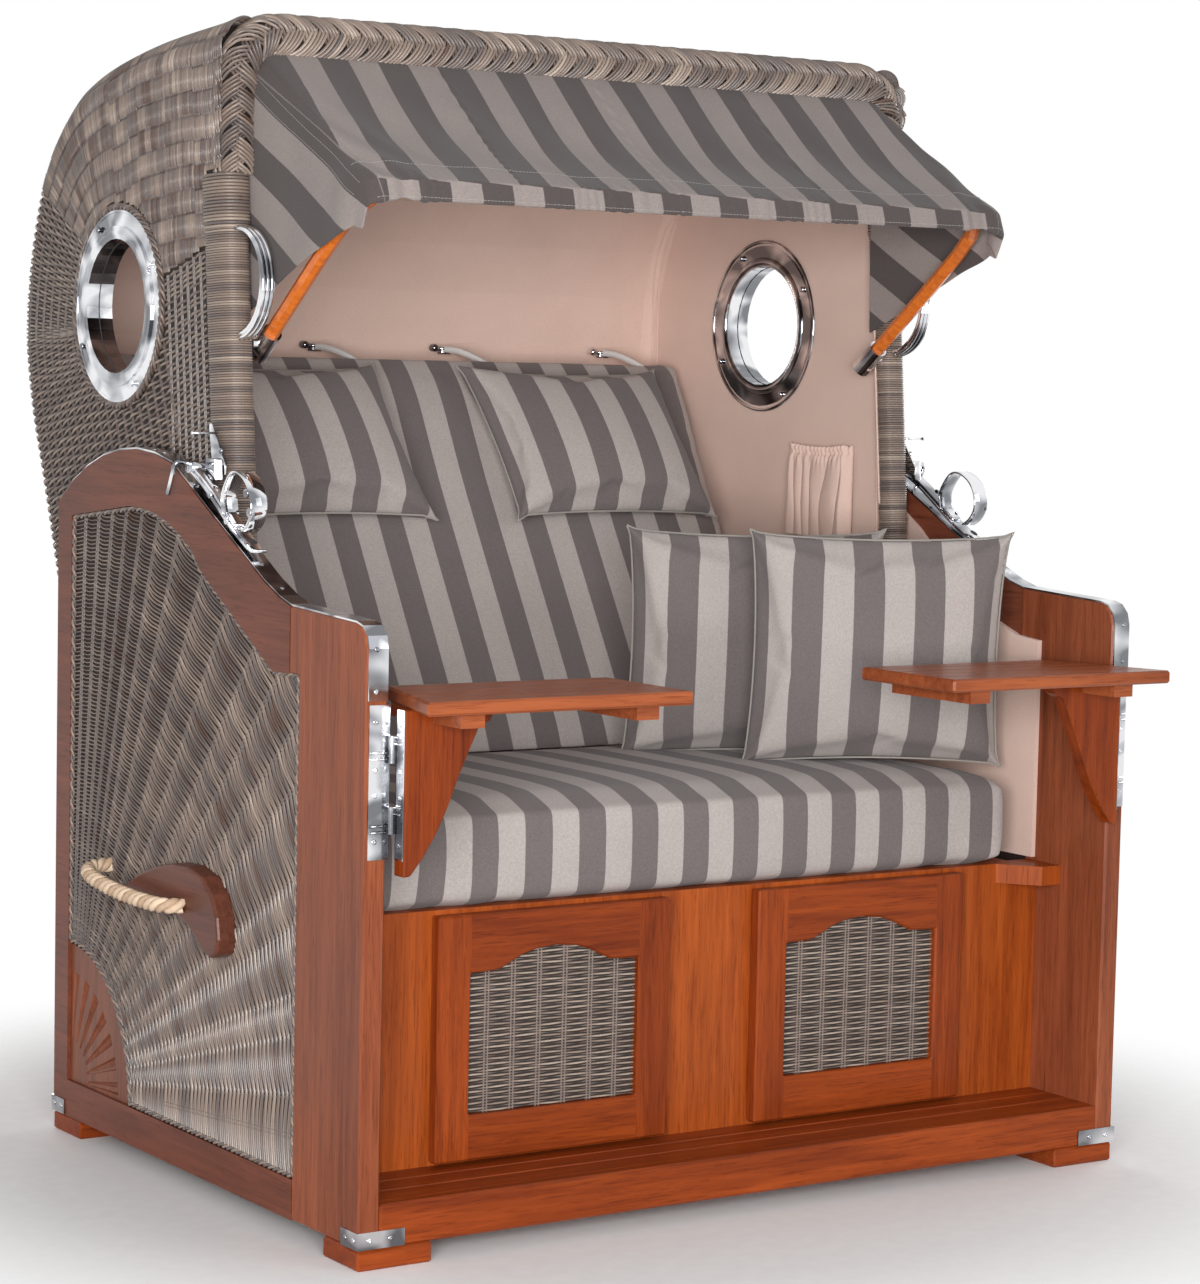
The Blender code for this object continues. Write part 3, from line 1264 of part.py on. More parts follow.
def canopy_sheet():
    """One cloth from the rim over the bar, with its side wings."""
    rows = [
        canopy_row(CANOPY_REAR, CANOPY_REAR_INNER), canopy_row(CANOPY_MIDDLE, CANOPY_MIDDLE_INNER),
        canopy_row(CANOPY_FRONT, CANOPY_FRONT_INNER), canopy_row(CANOPY_HEM, CANOPY_HEM_INNER),
    ]
    width = len(rows[0])
    corners = [corner for row in rows for corner in row]
    faces = [
        (row * width + column, row * width + column + 1,
         (row + 1) * width + column + 1, (row + 1) * width + column)
        for row in range(len(rows[1:])) for column in range(width - 1)
    ]
    mesh = bpy.data.meshes.new("canopy")
    mesh.from_pydata(corners, [], faces)
    piece = shade(show("canopy", mesh))
    put(piece, HOOD, (0, 0, 0), canopy_cloth)
    cloth = piece.modifiers.new("cloth", "SOLIDIFY")
    cloth.thickness = CANOPY_THICKNESS
    cloth.offset = 0
    return piece


# Tables

def table_top(side, sign, holder):
    """Grooved top with a slanted outer end and two battens underneath."""
    outline = [
        (sign * TABLE_INNER_X, TABLE_FRONT_Y), (sign * TABLE_OUTER_FRONT_X, TABLE_FRONT_Y),
        (sign * TABLE_OUTER_REAR_X, TABLE_REAR_Y), (sign * TABLE_INNER_X, TABLE_REAR_Y),
    ]
    name = side + "_table_top"
    piece = flat(name, outline, TABLE_THICKNESS, "top")
    put(piece, holder, (0, 0, TABLE_TOP_Z - TABLE_THICKNESS / 2), dark_mahogany)
    round_edges(piece, TABLE_ROUNDING)
    under = TABLE_TOP_Z - TABLE_THICKNESS
    for reach in BATTEN_REACHES:
        middle_x = HINGE_AXIS_X - reach
        low = (sign * middle_x - BATTEN_WIDTH / 2, TABLE_FRONT_Y + BATTEN_INSET, under - BATTEN_DEPTH)
        high = (sign * middle_x + BATTEN_WIDTH / 2, TABLE_REAR_Y - BATTEN_INSET, under + GAP)
        unite(piece, box_guide(f"{name}_batten_{reach}", low, high))
    cut(piece, gusset_space(side, sign))
    pitch = (TABLE_REAR_Y - TABLE_FRONT_Y) / (TABLE_GROOVES + 1)
    for index in range(TABLE_GROOVES):
        middle_y = TABLE_FRONT_Y + pitch * (index + 1)
        low = (
            min(sign * TABLE_INNER_X, sign * HALF_WIDTH) - OVERRUN, middle_y - TABLE_GROOVE_WIDTH / 2,
            TABLE_TOP_Z - TABLE_GROOVE_DEPTH,
        )
        high = (
            max(sign * TABLE_INNER_X, sign * HALF_WIDTH) + OVERRUN, middle_y + TABLE_GROOVE_WIDTH / 2,
            TABLE_TOP_Z + OVERRUN,
        )
        cut(piece, box_guide(f"{name}_groove_{index}", low, high))
    return piece


def gusset_space(side, sign):
    """Notch in the outer batten that lets the gusset reach the table top."""
    under = TABLE_TOP_Z - TABLE_THICKNESS
    nose_x = HINGE_AXIS_X - GUSSET_NOSE_REACH - GAP
    ends = sorted((sign * nose_x, sign * (TABLE_OUTER_FRONT_X + OVERRUN)))
    low = (ends[0], GUSSET_MIDDLE_Y - GUSSET_THICKNESS / 2 - GAP, under - BATTEN_DEPTH - OVERRUN)
    high = (ends[1], GUSSET_MIDDLE_Y + GUSSET_THICKNESS / 2 + GAP, under)
    return box_guide(side + "_gusset_space", low, high)


def table_gusset(side, sign, holder):
    outline = [(sign * (HINGE_AXIS_X - reach), height) for reach, height in GUSSET_OUTLINE]
    piece = flat(side + "_table_gusset", outline, GUSSET_THICKNESS, "front")
    put(piece, holder, (0, GUSSET_MIDDLE_Y, 0), mahogany)
    return round_edges(piece, TABLE_ROUNDING / 2)


def tables():
    for side, sign in SIDES:
        holder = carrier(side + "_table_axis", (sign * HINGE_AXIS_X, HINGE_AXIS_Y, 0), ROOT)
        table_top(side, sign, holder)
        table_gusset(side, sign, holder)


# Footrests

def door_opening(middle_x, clearance):
    """Arched opening with a small level shoulder at each side."""
    half = DOOR_WIDTH / 2 - DOOR_STILE - clearance
    low_z = DOOR_BOTTOM_Z + DOOR_LOWER_RAIL + clearance
    high_z = DOOR_TOP_Z - DOOR_UPPER_RAIL - clearance
    reach = half - DOOR_SHOULDER
    right = [(half, low_z), (half, high_z)]
    right += [(reach + DOOR_SHOULDER * DOOR_ARCH_SHARES[0][1], high_z)]
    right += [(reach * across, high_z + DOOR_ARCH_RISE * up) for across, up in DOOR_ARCH_SHARES]
    left = mirrored(right[:-1])[::-1]
    return [(middle_x + across, height) for across, height in right + left]


def footrest(side, sign, holder):
    """Framed front joined to the low bench that slides in the bay."""
    middle_x = sign * BAY_MIDDLE_X
    front_y = PANEL_FRONT_Y - GAP - DOOR_THICKNESS
    name = side + "_footrest"
    outline = rectangle(middle_x - DOOR_WIDTH / 2, DOOR_BOTTOM_Z, middle_x + DOOR_WIDTH / 2, DOOR_TOP_Z)
    piece = flat(name, outline, DOOR_THICKNESS, "front", holes=(door_opening(middle_x, 0),))
    put(piece, holder, (0, front_y + DOOR_THICKNESS / 2, 0), mahogany)
    round_edges(piece, DOOR_ROUNDING)
    half = DRAWER_WIDTH / 2
    bottom = BAY_BOTTOM_Z + GAP
    under = DRAWER_TOP_Z - DRAWER_BOARD
    bench = [
        (-half, bottom), (-half + DRAWER_BOARD, bottom), (-half + DRAWER_BOARD, under),
        (half - DRAWER_BOARD, under), (half - DRAWER_BOARD, bottom), (half, bottom),
        (half, DRAWER_TOP_Z), (-half, DRAWER_TOP_Z),
    ]
    bench_front = front_y + DOOR_THICKNESS / 2
    guide = flat(name + "_bench", bench, DRAWER_REAR_Y - bench_front, "front", group=GUIDES)
    unite(piece, guide_at(guide, (middle_x, (bench_front + DRAWER_REAR_Y) / 2, 0)))
    return piece


def footrest_inlay(side, sign, holder):
    outline = door_opening(sign * BAY_MIDDLE_X, GAP)
    piece = flat(side + "_footrest_inlay", outline, INLAY_THICKNESS, "front")
    middle_y = PANEL_FRONT_Y - GAP - INLAY_THICKNESS
    put(piece, holder, (0, middle_y, 0), wicker)
    return round_edges(piece, DOOR_ROUNDING)


def footrests():
    for side, sign in SIDES:
        holder = carrier(side + "_footrest_slide", (sign * BAY_MIDDLE_X, PANEL_FRONT_Y, 0), ROOT)
        footrest(side, sign, holder)
        footrest_inlay(side, sign, holder)


# Lift levers

def lift_lever(side, sign, holder):
    """Strap over the edge strip with a standing loop grip and its hinge rod."""
    near = list(LEVER_PATH)
    far = offset(LEVER_PATH, LEVER_STRAP, closed=False)
    name = side + "_lift_lever"
    piece = flat(name, near + far[::-1], LEVER_WIDTH, "side")
    put(piece, holder, (sign * LEVER_MIDDLE_X, 0, 0), chrome)
    middle_x = (LEVER_INNER_X + LEVER_OUTER_X) / 2
    place = (sign * middle_x, LEVER_AXIS_Y, LEVER_AXIS_Z)
    rod_length = LEVER_OUTER_X - LEVER_INNER_X
    unite(piece, cross_rod_guide(name + "_rod", LEVER_KNUCKLE_RADIUS, rod_length, place, KNUCKLE_SIDES))
    path = [(0, along, height) for along, height in GRIP_PATH]
    grip = show(name + "_grip", tube_mesh(name + "_grip", path, GRIP_RADIUS), GUIDES)
    unite(piece, guide_at(grip, (sign * LEVER_MIDDLE_X, 0, 0)))
    return piece


def lift_levers():
    for side, sign in SIDES:
        place = (sign * LEVER_MIDDLE_X, LEVER_AXIS_Y, LEVER_AXIS_Z)
        lift_lever(side, sign, carrier(side + "_lever_axis", place, HOOD))


ROOT = carrier("chair_origin", (0, 0, 0))
ROOT.location = (0, -ORIGIN_Y, 0)
HOOD = carrier("hood_axis", (0, PIVOT_Y, PIVOT_Z), ROOT)
BOW = carrier("bow_axis", (0, BOW_AXIS_Y, BOW_AXIS_Z), HOOD)

base_sides()
front_board()
floor_board()
front_panel()
seat_carcase()
rear_panel()
seat_cushion()
for end_name, end_inset, pillow_y in THROW_PLACES:
    throw_pillow(end_name, SEAT_HALF_X - end_inset, pillow_y)
hood()
canopy_bow()
for side_name, side_sign in SIDES:
    bow_ferrule(side_name, side_sign)
canopy_sheet()
tables()
footrests()
lift_levers()
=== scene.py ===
"""Looks of the hooded beach chair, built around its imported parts. The row frame: +X right, +Y back, +Z up."""

import math

import bmesh
import bpy
import numpy as np
from mathutils import Matrix, Vector


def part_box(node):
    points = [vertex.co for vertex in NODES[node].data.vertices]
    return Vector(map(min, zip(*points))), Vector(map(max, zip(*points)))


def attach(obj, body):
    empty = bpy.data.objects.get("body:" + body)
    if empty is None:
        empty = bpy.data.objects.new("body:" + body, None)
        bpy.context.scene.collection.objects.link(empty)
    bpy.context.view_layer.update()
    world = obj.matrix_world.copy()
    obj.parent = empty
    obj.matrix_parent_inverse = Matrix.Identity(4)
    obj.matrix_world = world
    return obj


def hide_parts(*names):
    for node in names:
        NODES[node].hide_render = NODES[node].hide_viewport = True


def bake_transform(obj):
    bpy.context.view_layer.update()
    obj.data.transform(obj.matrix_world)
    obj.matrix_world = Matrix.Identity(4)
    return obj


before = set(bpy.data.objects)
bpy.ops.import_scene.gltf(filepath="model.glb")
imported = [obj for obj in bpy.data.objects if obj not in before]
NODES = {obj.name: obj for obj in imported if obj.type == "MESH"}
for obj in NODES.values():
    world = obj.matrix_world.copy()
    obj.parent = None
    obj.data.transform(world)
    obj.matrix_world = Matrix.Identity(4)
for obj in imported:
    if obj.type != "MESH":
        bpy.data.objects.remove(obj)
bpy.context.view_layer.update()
RNG = np.random.default_rng(7)
SIDES = (("left", -1), ("right", 1))

# Measures taken from the photograph have y = 0 at the front of the side frames
SHIFT_Y = -0.5205
PIVOT = np.array([0.657 + SHIFT_Y, 0.587])
CORNER = np.array([0.860 + SHIFT_Y, 0.080])
PORT = np.array([0.800 + SHIFT_Y, 1.200])
PORT_CLEAR = 0.143
ARCH_CLEAR = 0.385
# The photograph's lens and middle, in its own pixels
PHOTO_FOCAL = 3346.595
PHOTO_SIZE = (1200, 1284)


def yz(points):
    """Outline points of the chair as (y, z) in the row frame."""
    return np.array([(p[0] + SHIFT_Y, p[1]) for p in points], float)


# ---------------------------------------------------------------- materials

class Shader:
    """A node material with short helpers; most return the socket that carries their result."""

    def __init__(self, name):
        self.mat = bpy.data.materials.new(name)
        self.mat.use_nodes = True
        self.tree = self.mat.node_tree
        self.bsdf = self.tree.nodes["Principled BSDF"]

    def node(self, kind, **values):
        n = self.tree.nodes.new(kind)
        for key, value in values.items():
            if hasattr(n, key):
                setattr(n, key, value)
            else:
                n.inputs[key.replace("_", " ")].default_value = value
        return n

    def link(self, a, b):
        self.tree.links.new(a, b)

    def coords(self, scale, kind="Object"):
        c = self.node("ShaderNodeTexCoord")
        m = self.node("ShaderNodeMapping")
        m.inputs["Scale"].default_value = scale
        self.link(c.outputs[kind], m.inputs["Vector"])
        return m.outputs["Vector"]

    def noise(self, vector, scale, detail=4, rough=0.5, distortion=0.0):
        n = self.node("ShaderNodeTexNoise")
        n.inputs["Scale"].default_value = scale
        n.inputs["Detail"].default_value = detail
        n.inputs["Roughness"].default_value = rough
        n.inputs["Distortion"].default_value = distortion
        self.link(vector, n.inputs["Vector"])
        return n.outputs["Fac"]

    def ramp(self, factor, stops, interpolation="LINEAR"):
        r = self.node("ShaderNodeValToRGB")
        r.color_ramp.interpolation = interpolation
        while len(r.color_ramp.elements) < len(stops):
            r.color_ramp.elements.new(0.5)
        for element, (place, colour) in zip(r.color_ramp.elements, stops):
            element.position = place
            element.color = (*colour, 1)
        self.link(factor, r.inputs["Fac"])
        return r.outputs["Color"]

    def scaled(self, factor, low, high):
        m = self.node("ShaderNodeMapRange")
        m.inputs["To Min"].default_value = low
        m.inputs["To Max"].default_value = high
        self.link(factor, m.inputs["Value"])
        return m.outputs["Result"]

    def math(self, operation, a, b=None):
        m = self.node("ShaderNodeMath")
        m.operation = operation
        for index, value in enumerate((a, b)):
            if value is None:
                continue
            if isinstance(value, (int, float)):
                m.inputs[index].default_value = value
            else:
                self.link(value, m.inputs[index])
        return m.outputs[0]

    def mix(self, factor, a, b, kind="MIX"):
        m = self.node("ShaderNodeMix")
        m.data_type = "RGBA"
        m.blend_type = kind
        for index, value in ((0, factor), (6, a), (7, b)):
            socket = m.inputs[index]
            if isinstance(value, (int, float)):
                socket.default_value = value
            elif isinstance(value, tuple):
                socket.default_value = (*value, 1)
            else:
                self.link(value, socket)
        return m.outputs[2]

    def attribute(self, name):
        a = self.node("ShaderNodeAttribute")
        a.attribute_name = name
        return a.outputs["Fac"]

    def bump(self, height, strength, distance):
        b = self.node("ShaderNodeBump")
        b.inputs["Strength"].default_value = strength
        b.inputs["Distance"].default_value = distance
        self.link(height, b.inputs["Height"])
        self.link(b.outputs["Normal"], self.bsdf.inputs["Normal"])

    def put(self, **values):
        for key, value in values.items():
            socket = self.bsdf.inputs[key.replace("_", " ")]
            if isinstance(value, (int, float)):
                socket.default_value = value
            elif isinstance(value, tuple):
                socket.default_value = (*value, 1) if len(value) == 3 else value
            else:
                self.link(value, socket)
        return self


def stretched(along, across, grain):
    """A texture scale that is small along the grain's axis."""
    scale = [across] * 3
    scale["xyz".index(grain)] = along
    return scale


def grain_layers(s, grain):
    """Fibres, the tone they make with the broad figure, and pores; grain is the axis they run along."""
    stretch = stretched(1.3, 26.0, grain)
    fibres = s.noise(s.coords(stretch), 3.0, 6, 0.62, 0.6)
    broad = s.noise(s.coords([v ** 0.5 for v in stretch]), 1.3, 3, 0.5, 1.0)
    pores = s.noise(s.coords(stretched(9.0, 210.0, grain)), 2.0, 3, 0.7)
    return fibres, s.math("ADD", s.math("MULTIPLY", fibres, 0.6), s.math("MULTIPLY", broad, 0.4)), pores


def lacquered(s, tone, pores, rough, dark, light, gloss):
    """Colour, sheen and relief of lacquered wood from its layers."""
    middle = tuple((a + b) / 2 for a, b in zip(dark, light))
    base = s.ramp(tone, ((0.34, dark), (0.50, middle), (0.66, light)))
    streaks = s.ramp(pores, ((0.36, (0.62, 0.55, 0.50)), (0.46, (1, 1, 1))))
    s.put(Base_Color=s.mix(0.8, base, streaks, "MULTIPLY"), Roughness=s.scaled(rough, gloss, gloss + 0.16))
    s.put(Coat_Weight=0.05, Coat_Roughness=0.10, Specular_IOR_Level=0.16)
    s.bump(pores, 0.12, 0.0006)
    return s.mat


def wood(name, grain, dark, light, gloss=0.30):
    """Lacquered hardwood; grain is the axis its fibres run along."""
    s = Shader(name)
    fibres, tone, pores = grain_layers(s, grain)
    return lacquered(s, tone, pores, fibres, dark, light, gloss)


WOOD_DARK = (0.130, 0.0190, 0.0030)
WOOD_LIGHT = (0.325, 0.0590, 0.0090)
PANEL_DARK = (0.200, 0.0340, 0.0050)
PANEL_LIGHT = (0.430, 0.0920, 0.0150)
# painted sheen: the side frames' copy of the mahogany, greyer and browner for the sheen on the sides
SIDE_SHEEN_DARK = (0.112, 0.030, 0.0150)
SIDE_SHEEN_LIGHT = (0.225, 0.064, 0.0330)
FRAME_DARK = (0.165, 0.041, 0.0170)
FRAME_LIGHT = (0.330, 0.090, 0.0370)


def wicker():
    """Flat-backed strands: each strand's shade is in its tone attribute, which also carries painted shade and
    highlights laid in by the weaves.
    """
    s = Shader("wicker_strands")
    tone = s.attribute("tone")
    streak = s.noise(s.coords((60, 60, 60)), 9.0, 4, 0.6)
    shifted = s.math("ADD", tone, s.scaled(streak, -0.10, 0.10))
    colour = s.ramp(shifted, (
        (0.00, (0.014, 0.009, 0.007)), (0.20, (0.054, 0.029, 0.021)), (0.36, (0.112, 0.063, 0.045)),
        (0.50, (0.126, 0.103, 0.096)), (0.64, (0.195, 0.146, 0.122)), (0.80, (0.280, 0.212, 0.172)),
        (1.00, (0.450, 0.365, 0.300)),
    ))
    s.put(Base_Color=colour, Roughness=s.scaled(streak, 0.30, 0.44), Specular_IOR_Level=0.60)
    s.bump(s.noise(s.coords((900, 900, 900)), 1.0, 2), 0.15, 0.0003)
    return s.mat


def wicker_backing(name, dark, light):
    """The shaded inner strands seen through the gaps."""
    s = Shader(name)
    rough = s.noise(s.coords((150, 150, 150)), 1.0, 4, 0.6)
    s.put(Base_Color=s.ramp(rough, ((0.3, dark), (0.7, light))))
    s.put(Roughness=0.8)
    s.bump(rough, 0.5, 0.002)
    return s.mat


def metal(name, colour, roughness, scratches, depth=0.0):
    """Polished or brushed metal with painted reflections; depth sets how far its colour runs into broad deep and bright
    patches that stand for reflections of the studio.
    """
    s = Shader(name)
    fine = s.noise(s.coords((40, 400, 400)), 3.0, 3, 0.6)
    broad = s.noise(s.coords((16, 16, 22)), 1.0, 1, 0.4, 0.6)
    hairlines = s.ramp(fine, ((0.2, (0.45, 0.46, 0.48)), (0.8, (0.95, 0.95, 0.96))))
    # painted reflections: broad patches from deep to bright mixed into the base colour
    painted_reflections = s.ramp(broad, (
        (0.40, (0.10, 0.105, 0.12)), (0.50, (0.50, 0.51, 0.54)), (0.60, (0.95, 0.95, 0.97)),
    ))
    base = s.mix(depth, s.mix(0.20, colour, hairlines), painted_reflections)
    s.put(Base_Color=base, Metallic=1.0, Roughness=s.scaled(fine, roughness, roughness + scratches))
    s.bump(fine, 0.04, 0.0004)
    return s.mat


# ---------------------------------------------------------------- strands

def unit(vectors):
    """The vectors of an array, each at length one."""
    return vectors / (np.linalg.norm(vectors, axis=-1)[..., None] + 1e-12)


def around(sides):
    """Points of a circle of radius one, as (across, up)."""
    turn = np.arange(sides) * 2 * math.pi / sides
    return np.stack([np.cos(turn), np.sin(turn)], 1)


def reaches(path):
    """How far along the path each of its points lies."""
    return np.concatenate([[0], np.cumsum(np.linalg.norm(np.diff(path, axis=0), axis=1))])


def at_reach(reach, length, values):
    """Values of a path's points, read off at other distances along it."""
    return np.column_stack([np.interp(reach, length, values[:, c]) for c in range(values.shape[1])])


def lay_of(path, normal):
    """Directions across a path and out of it, from the normal of what it lies on."""
    along = unit(np.gradient(path, axis=0))
    across = unit(np.cross(along, np.broadcast_to(np.asarray(normal, float), path.shape)))
    return across, np.cross(across, along)


def grid_quads(index):
    """Faces of a grid of corner numbers."""
    return np.stack([index[:-1, :-1], index[1:, :-1], index[1:, 1:], index[:-1, 1:]], -1).reshape(-1, 4)


def ring_quads(rings, k):
    """Faces between closed rings of k corners."""
    i = np.arange(rings - 1)[:, None] * k
    a, b = i + np.arange(k), i + (np.arange(k) + 1) % k
    return np.stack([a, b, b + k, a + k], -1).reshape(-1, 4)


FLAT_BACK = np.array([[-1.0, -0.15], [-0.66, 0.62], [0.0, 1.0], [0.66, 0.62], [1.0, -0.15]])


def quad_mesh(name, corners, quads, tones=None):
    """A smooth mesh of four-sided faces, with each corner's tone where that is given."""
    mesh = bpy.data.meshes.new(name)
    mesh.vertices.add(len(corners))
    mesh.vertices.foreach_set("co", np.asarray(corners, np.float32).ravel())
    mesh.loops.add(quads.size)
    mesh.loops.foreach_set("vertex_index", quads.astype(np.int32).ravel())
    mesh.polygons.add(len(quads))
    mesh.polygons.foreach_set("loop_start", np.arange(0, quads.size, 4, dtype=np.int32))
    mesh.update(calc_edges=True)
    mesh.polygons.foreach_set("use_smooth", np.ones(len(quads), bool))
    if tones is not None:
        attribute = mesh.attributes.new("tone", "FLOAT", "POINT")
        attribute.data.foreach_set("value", np.asarray(tones, np.float32))
    return mesh


def strand_object(name, runs, finish, closed=False):
    """One object of many strands. A run is (path, outward normal, half width, height, tone)."""
    section = around(6) if closed else FLAT_BACK
    k = len(section)
    edges = np.arange(k if closed else k - 1)
    corners, quads, tones, count = [], [], [], 0
    for path, normal, half_width, height, tone in runs:
        path = np.asarray(path, float)
        n = len(path)
        if n < 2:
            continue
        across, out = lay_of(path, normal)
        ring = path[:, None] + across[:, None] * section[None, :, :1] * half_width
        ring = ring + out[:, None] * section[None, :, 1:] * height
        corners.append(ring.reshape(-1, 3))
        i = np.arange(n - 1)[:, None] * k
        a, b = i + edges, i + (edges + 1) % k
        quads.append(np.stack([a, a + k, b + k, b], -1).reshape(-1, 4) + count)
        tones.append(np.repeat(np.broadcast_to(np.asarray(tone, float), (n,)), k))
        count += n * k
    mesh = quad_mesh(name, np.concatenate(corners), np.concatenate(quads), np.concatenate(tones))
    thing = new_object(name, mesh, finish)
    return thing


def strands(name, runs, finish, body, closed=False):
    """Strands that ride on one body."""
    thing = strand_object(name, runs, finish, closed)
    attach(thing, body)
    return thing


def woven(name, runs, body, closed=False):
    """Wicker strands that ride on one body."""
    return strands(name, runs, WICKER, body, closed)


def grouped_tones(count, longest=4):
    """Strand shades that run in small groups, tan and grey and brown."""
    tones = []
    while len(tones) < count:
        base = RNG.choice([0.80, 0.71, 0.62, 0.52, 0.42], p=[0.16, 0.26, 0.26, 0.20, 0.12])
        tones += [base] * int(RNG.integers(1, longest + 1))
    return np.array(tones[:count]) + RNG.normal(0, 0.075, count)


def inside(points, polygon):
    """Which of the points lie inside the polygon."""
    x, y = points[:, 0:1], points[:, 1:2]
    ax, ay = polygon[:, 0], polygon[:, 1]
    bx, by = np.roll(ax, -1), np.roll(ay, -1)
    crosses = (ay > y) != (by > y)
    step = np.where(by == ay, 1e-12, by - ay)
    return (crosses & (x < (bx - ax) * (y - ay) / step + ax)).sum(1) % 2 == 1


def kept_runs(keep, shortest=3):
    """Start and end of each run of kept samples."""
    edges = np.flatnonzero(np.diff(np.concatenate([[0], keep.astype(int), [0]])))
    return [(a, b) for a, b in zip(edges[::2], edges[1::2]) if b - a >= shortest]


def arc_points(middle, radius, start, end):
    """Points of an arc, between two angles in degrees."""
    t = np.radians(np.linspace(start, end, 24))
    return np.stack([middle[0] + radius * np.cos(t), middle[1] + radius * np.sin(t)], 1)


# ---------------------------------------------------------------- base side wicker

RIDGES = np.array([-3.0, 9, 15.3, 19.5, 26, 30, 37, 41, 46, 50.5, 56.5, 62, 67.8, 72, 75.3, 78.5, 81.5, 84.5, 87.5, 91])
WEFT_PITCH = 0.0057
PANEL_FACE_X = 0.6196


def panel_opening():
    """Outline of the woven field, round the fan block and under the arch."""
    fan = arc_points(CORNER, 0.202, 180, 90)
    under = arc_points(PIVOT, 0.336, 87, 122)
    return np.concatenate([
        yz([(0.175, 0.080)]), fan, yz([(0.860, 0.901)]), under, yz([(0.453, 0.847), (0.246, 0.730), (0.175, 0.730)]),
    ])


def side_point(sign, flat, height):
    """Points of the side plane at a height over the panel's face."""
    return np.column_stack([sign * (PANEL_FACE_X + height), flat[:, 0], flat[:, 1]])


def panel_wefts(sign, opening):
    """Weavers in arcs round the lower rear corner, over and under the stakes that fan out from it."""
    runs = []
    shades = 0.61 + 0.6 * (grouped_tones(148, 2) - 0.60)
    for index in range(148):
        radius = 0.206 + WEFT_PITCH * index
        angle = np.arange(-1.0, 91.0, math.degrees(0.0052 / radius))
        k = np.clip(np.searchsorted(RIDGES, angle) - 1, 0, len(RIDGES) - 2)
        width = RIDGES[k + 1] - RIDGES[k]
        t = (angle - RIDGES[k]) / width
        wave = np.cos(math.pi * t) * np.where((k + index) % 2, 1, -1)
        wave = np.sign(wave) * np.abs(wave) ** 2.2
        sag = np.sin(math.pi * t ** 1.25) * np.radians(width) * radius * 0.085
        turn = np.radians(angle)
        reach = radius - sag
        flat = np.column_stack([CORNER[0] - reach * np.cos(turn), CORNER[1] + reach * np.sin(turn)])
        keep = inside(flat, opening)
        tone = shades[index] + 0.02 + 0.06 * np.sin(2.1 * k + index * 0.35) * (angle < 75)
        # painted highlight: each weft is lighter near the ridges where it crosses the stakes; every other span is also
        # darker in its middle
        tone = tone + 0.07 * np.cos(math.pi * t) ** 6 - 0.12 * (k % 2) * np.sin(math.pi * t)
        tone = tone - 0.22 * ((angle > 75.3) & (angle < 78.5))
        for a, b in kept_runs(keep):
            path = side_point(sign, flat[a:b], 0.0009 * wave[a:b])
            runs.append((path, (sign, 0, 0), 0.00125, 0.0022, tone[a:b]))
    return runs


def panel_stakes(sign, opening):
    """Paired stakes that fan out from the lower rear corner."""
    runs = []
    spots = [(angle, 0.0) for angle in RIDGES[1:-1]] + [(4.6, 0.31)]
    for angle, start in spots:
        turn = math.radians(angle)
        for shift in (-0.0026, 0.0026):
            reach = np.arange(max(0.203, start), 0.96, 0.006)
            flat = np.column_stack([
                CORNER[0] - reach * math.cos(turn) + shift * math.sin(turn),
                CORNER[1] + reach * math.sin(turn) + shift * math.cos(turn),
            ])
            for a, b in kept_runs(inside(flat, opening)):
                path = side_point(sign, flat[a:b], np.full(b - a, -0.0004))
                runs.append((path, (sign, 0, 0), 0.0015, 0.0017, 0.50))
    return runs


def resample(points, step, closed=False):
    """A path at even steps."""
    points = np.asarray(points, float)
    if closed:
        points = np.concatenate([points, points[:1]])
    length = reaches(points)
    return at_reach(np.linspace(0, length[-1], max(int(length[-1] / step), 2) + 1), length, points)


def twist_runs(path, normal, radius, strand, pitch, tones):
    """Strands of a rope or twisted border laid around a path."""
    path = np.asarray(path, float)
    across, out = lay_of(path, normal)
    length = reaches(path)
    runs = []
    for index, tone in enumerate(tones):
        phase = 2 * math.pi * (length / pitch + index / len(tones))
        turned = path + across * (np.cos(phase) * radius)[:, None] + out * (np.sin(phase) * radius)[:, None]
        runs.append((turned, out, strand, strand, tone))
    return runs


def base_side(side, sign):
    """One side panel: backing, weave and twisted border."""
    opening = panel_opening()
    NODES[side + "_side_wicker"].data.materials[0] = PANEL_BACKING
    woven(side + "_panel_weave", panel_wefts(sign, opening) + panel_stakes(sign, opening), "base")
    middle = opening.mean(0)
    inner = opening + unit(middle - opening) * 0.004
    border = resample(inner, 0.003, closed=True)
    path = side_point(sign, border, np.full(len(border), 0.0016))
    edge = twist_runs(path, (sign, 0, 0), 0.0019, 0.0021, 0.026, (0.74, 0.50))
    woven(side + "_panel_border", edge, "base", closed=True)


# ---------------------------------------------------------------- hood wicker

HOOD_X = 0.580
HOOD_CORNER = 0.045
HOOD_PROFILE = yz([
    (0.5000, 1.584), (0.5423, 1.579), (0.711, 1.565), (0.850, 1.544), (0.940, 1.520), (0.995, 1.492), (1.045, 1.452),
    (1.088, 1.398), (1.120, 1.330), (1.143, 1.250), (1.153, 1.163), (1.143, 1.095), (1.120, 1.020),
    (1.066, 0.885), (0.922, 0.500),
])
HOOD_WEFT = 0.0050
BANDS = np.array([0.0, 0.046, 0.080, 0.113, 0.146, 0.179, 0.212, 0.245, 0.278, 0.311, 0.344, 0.377])


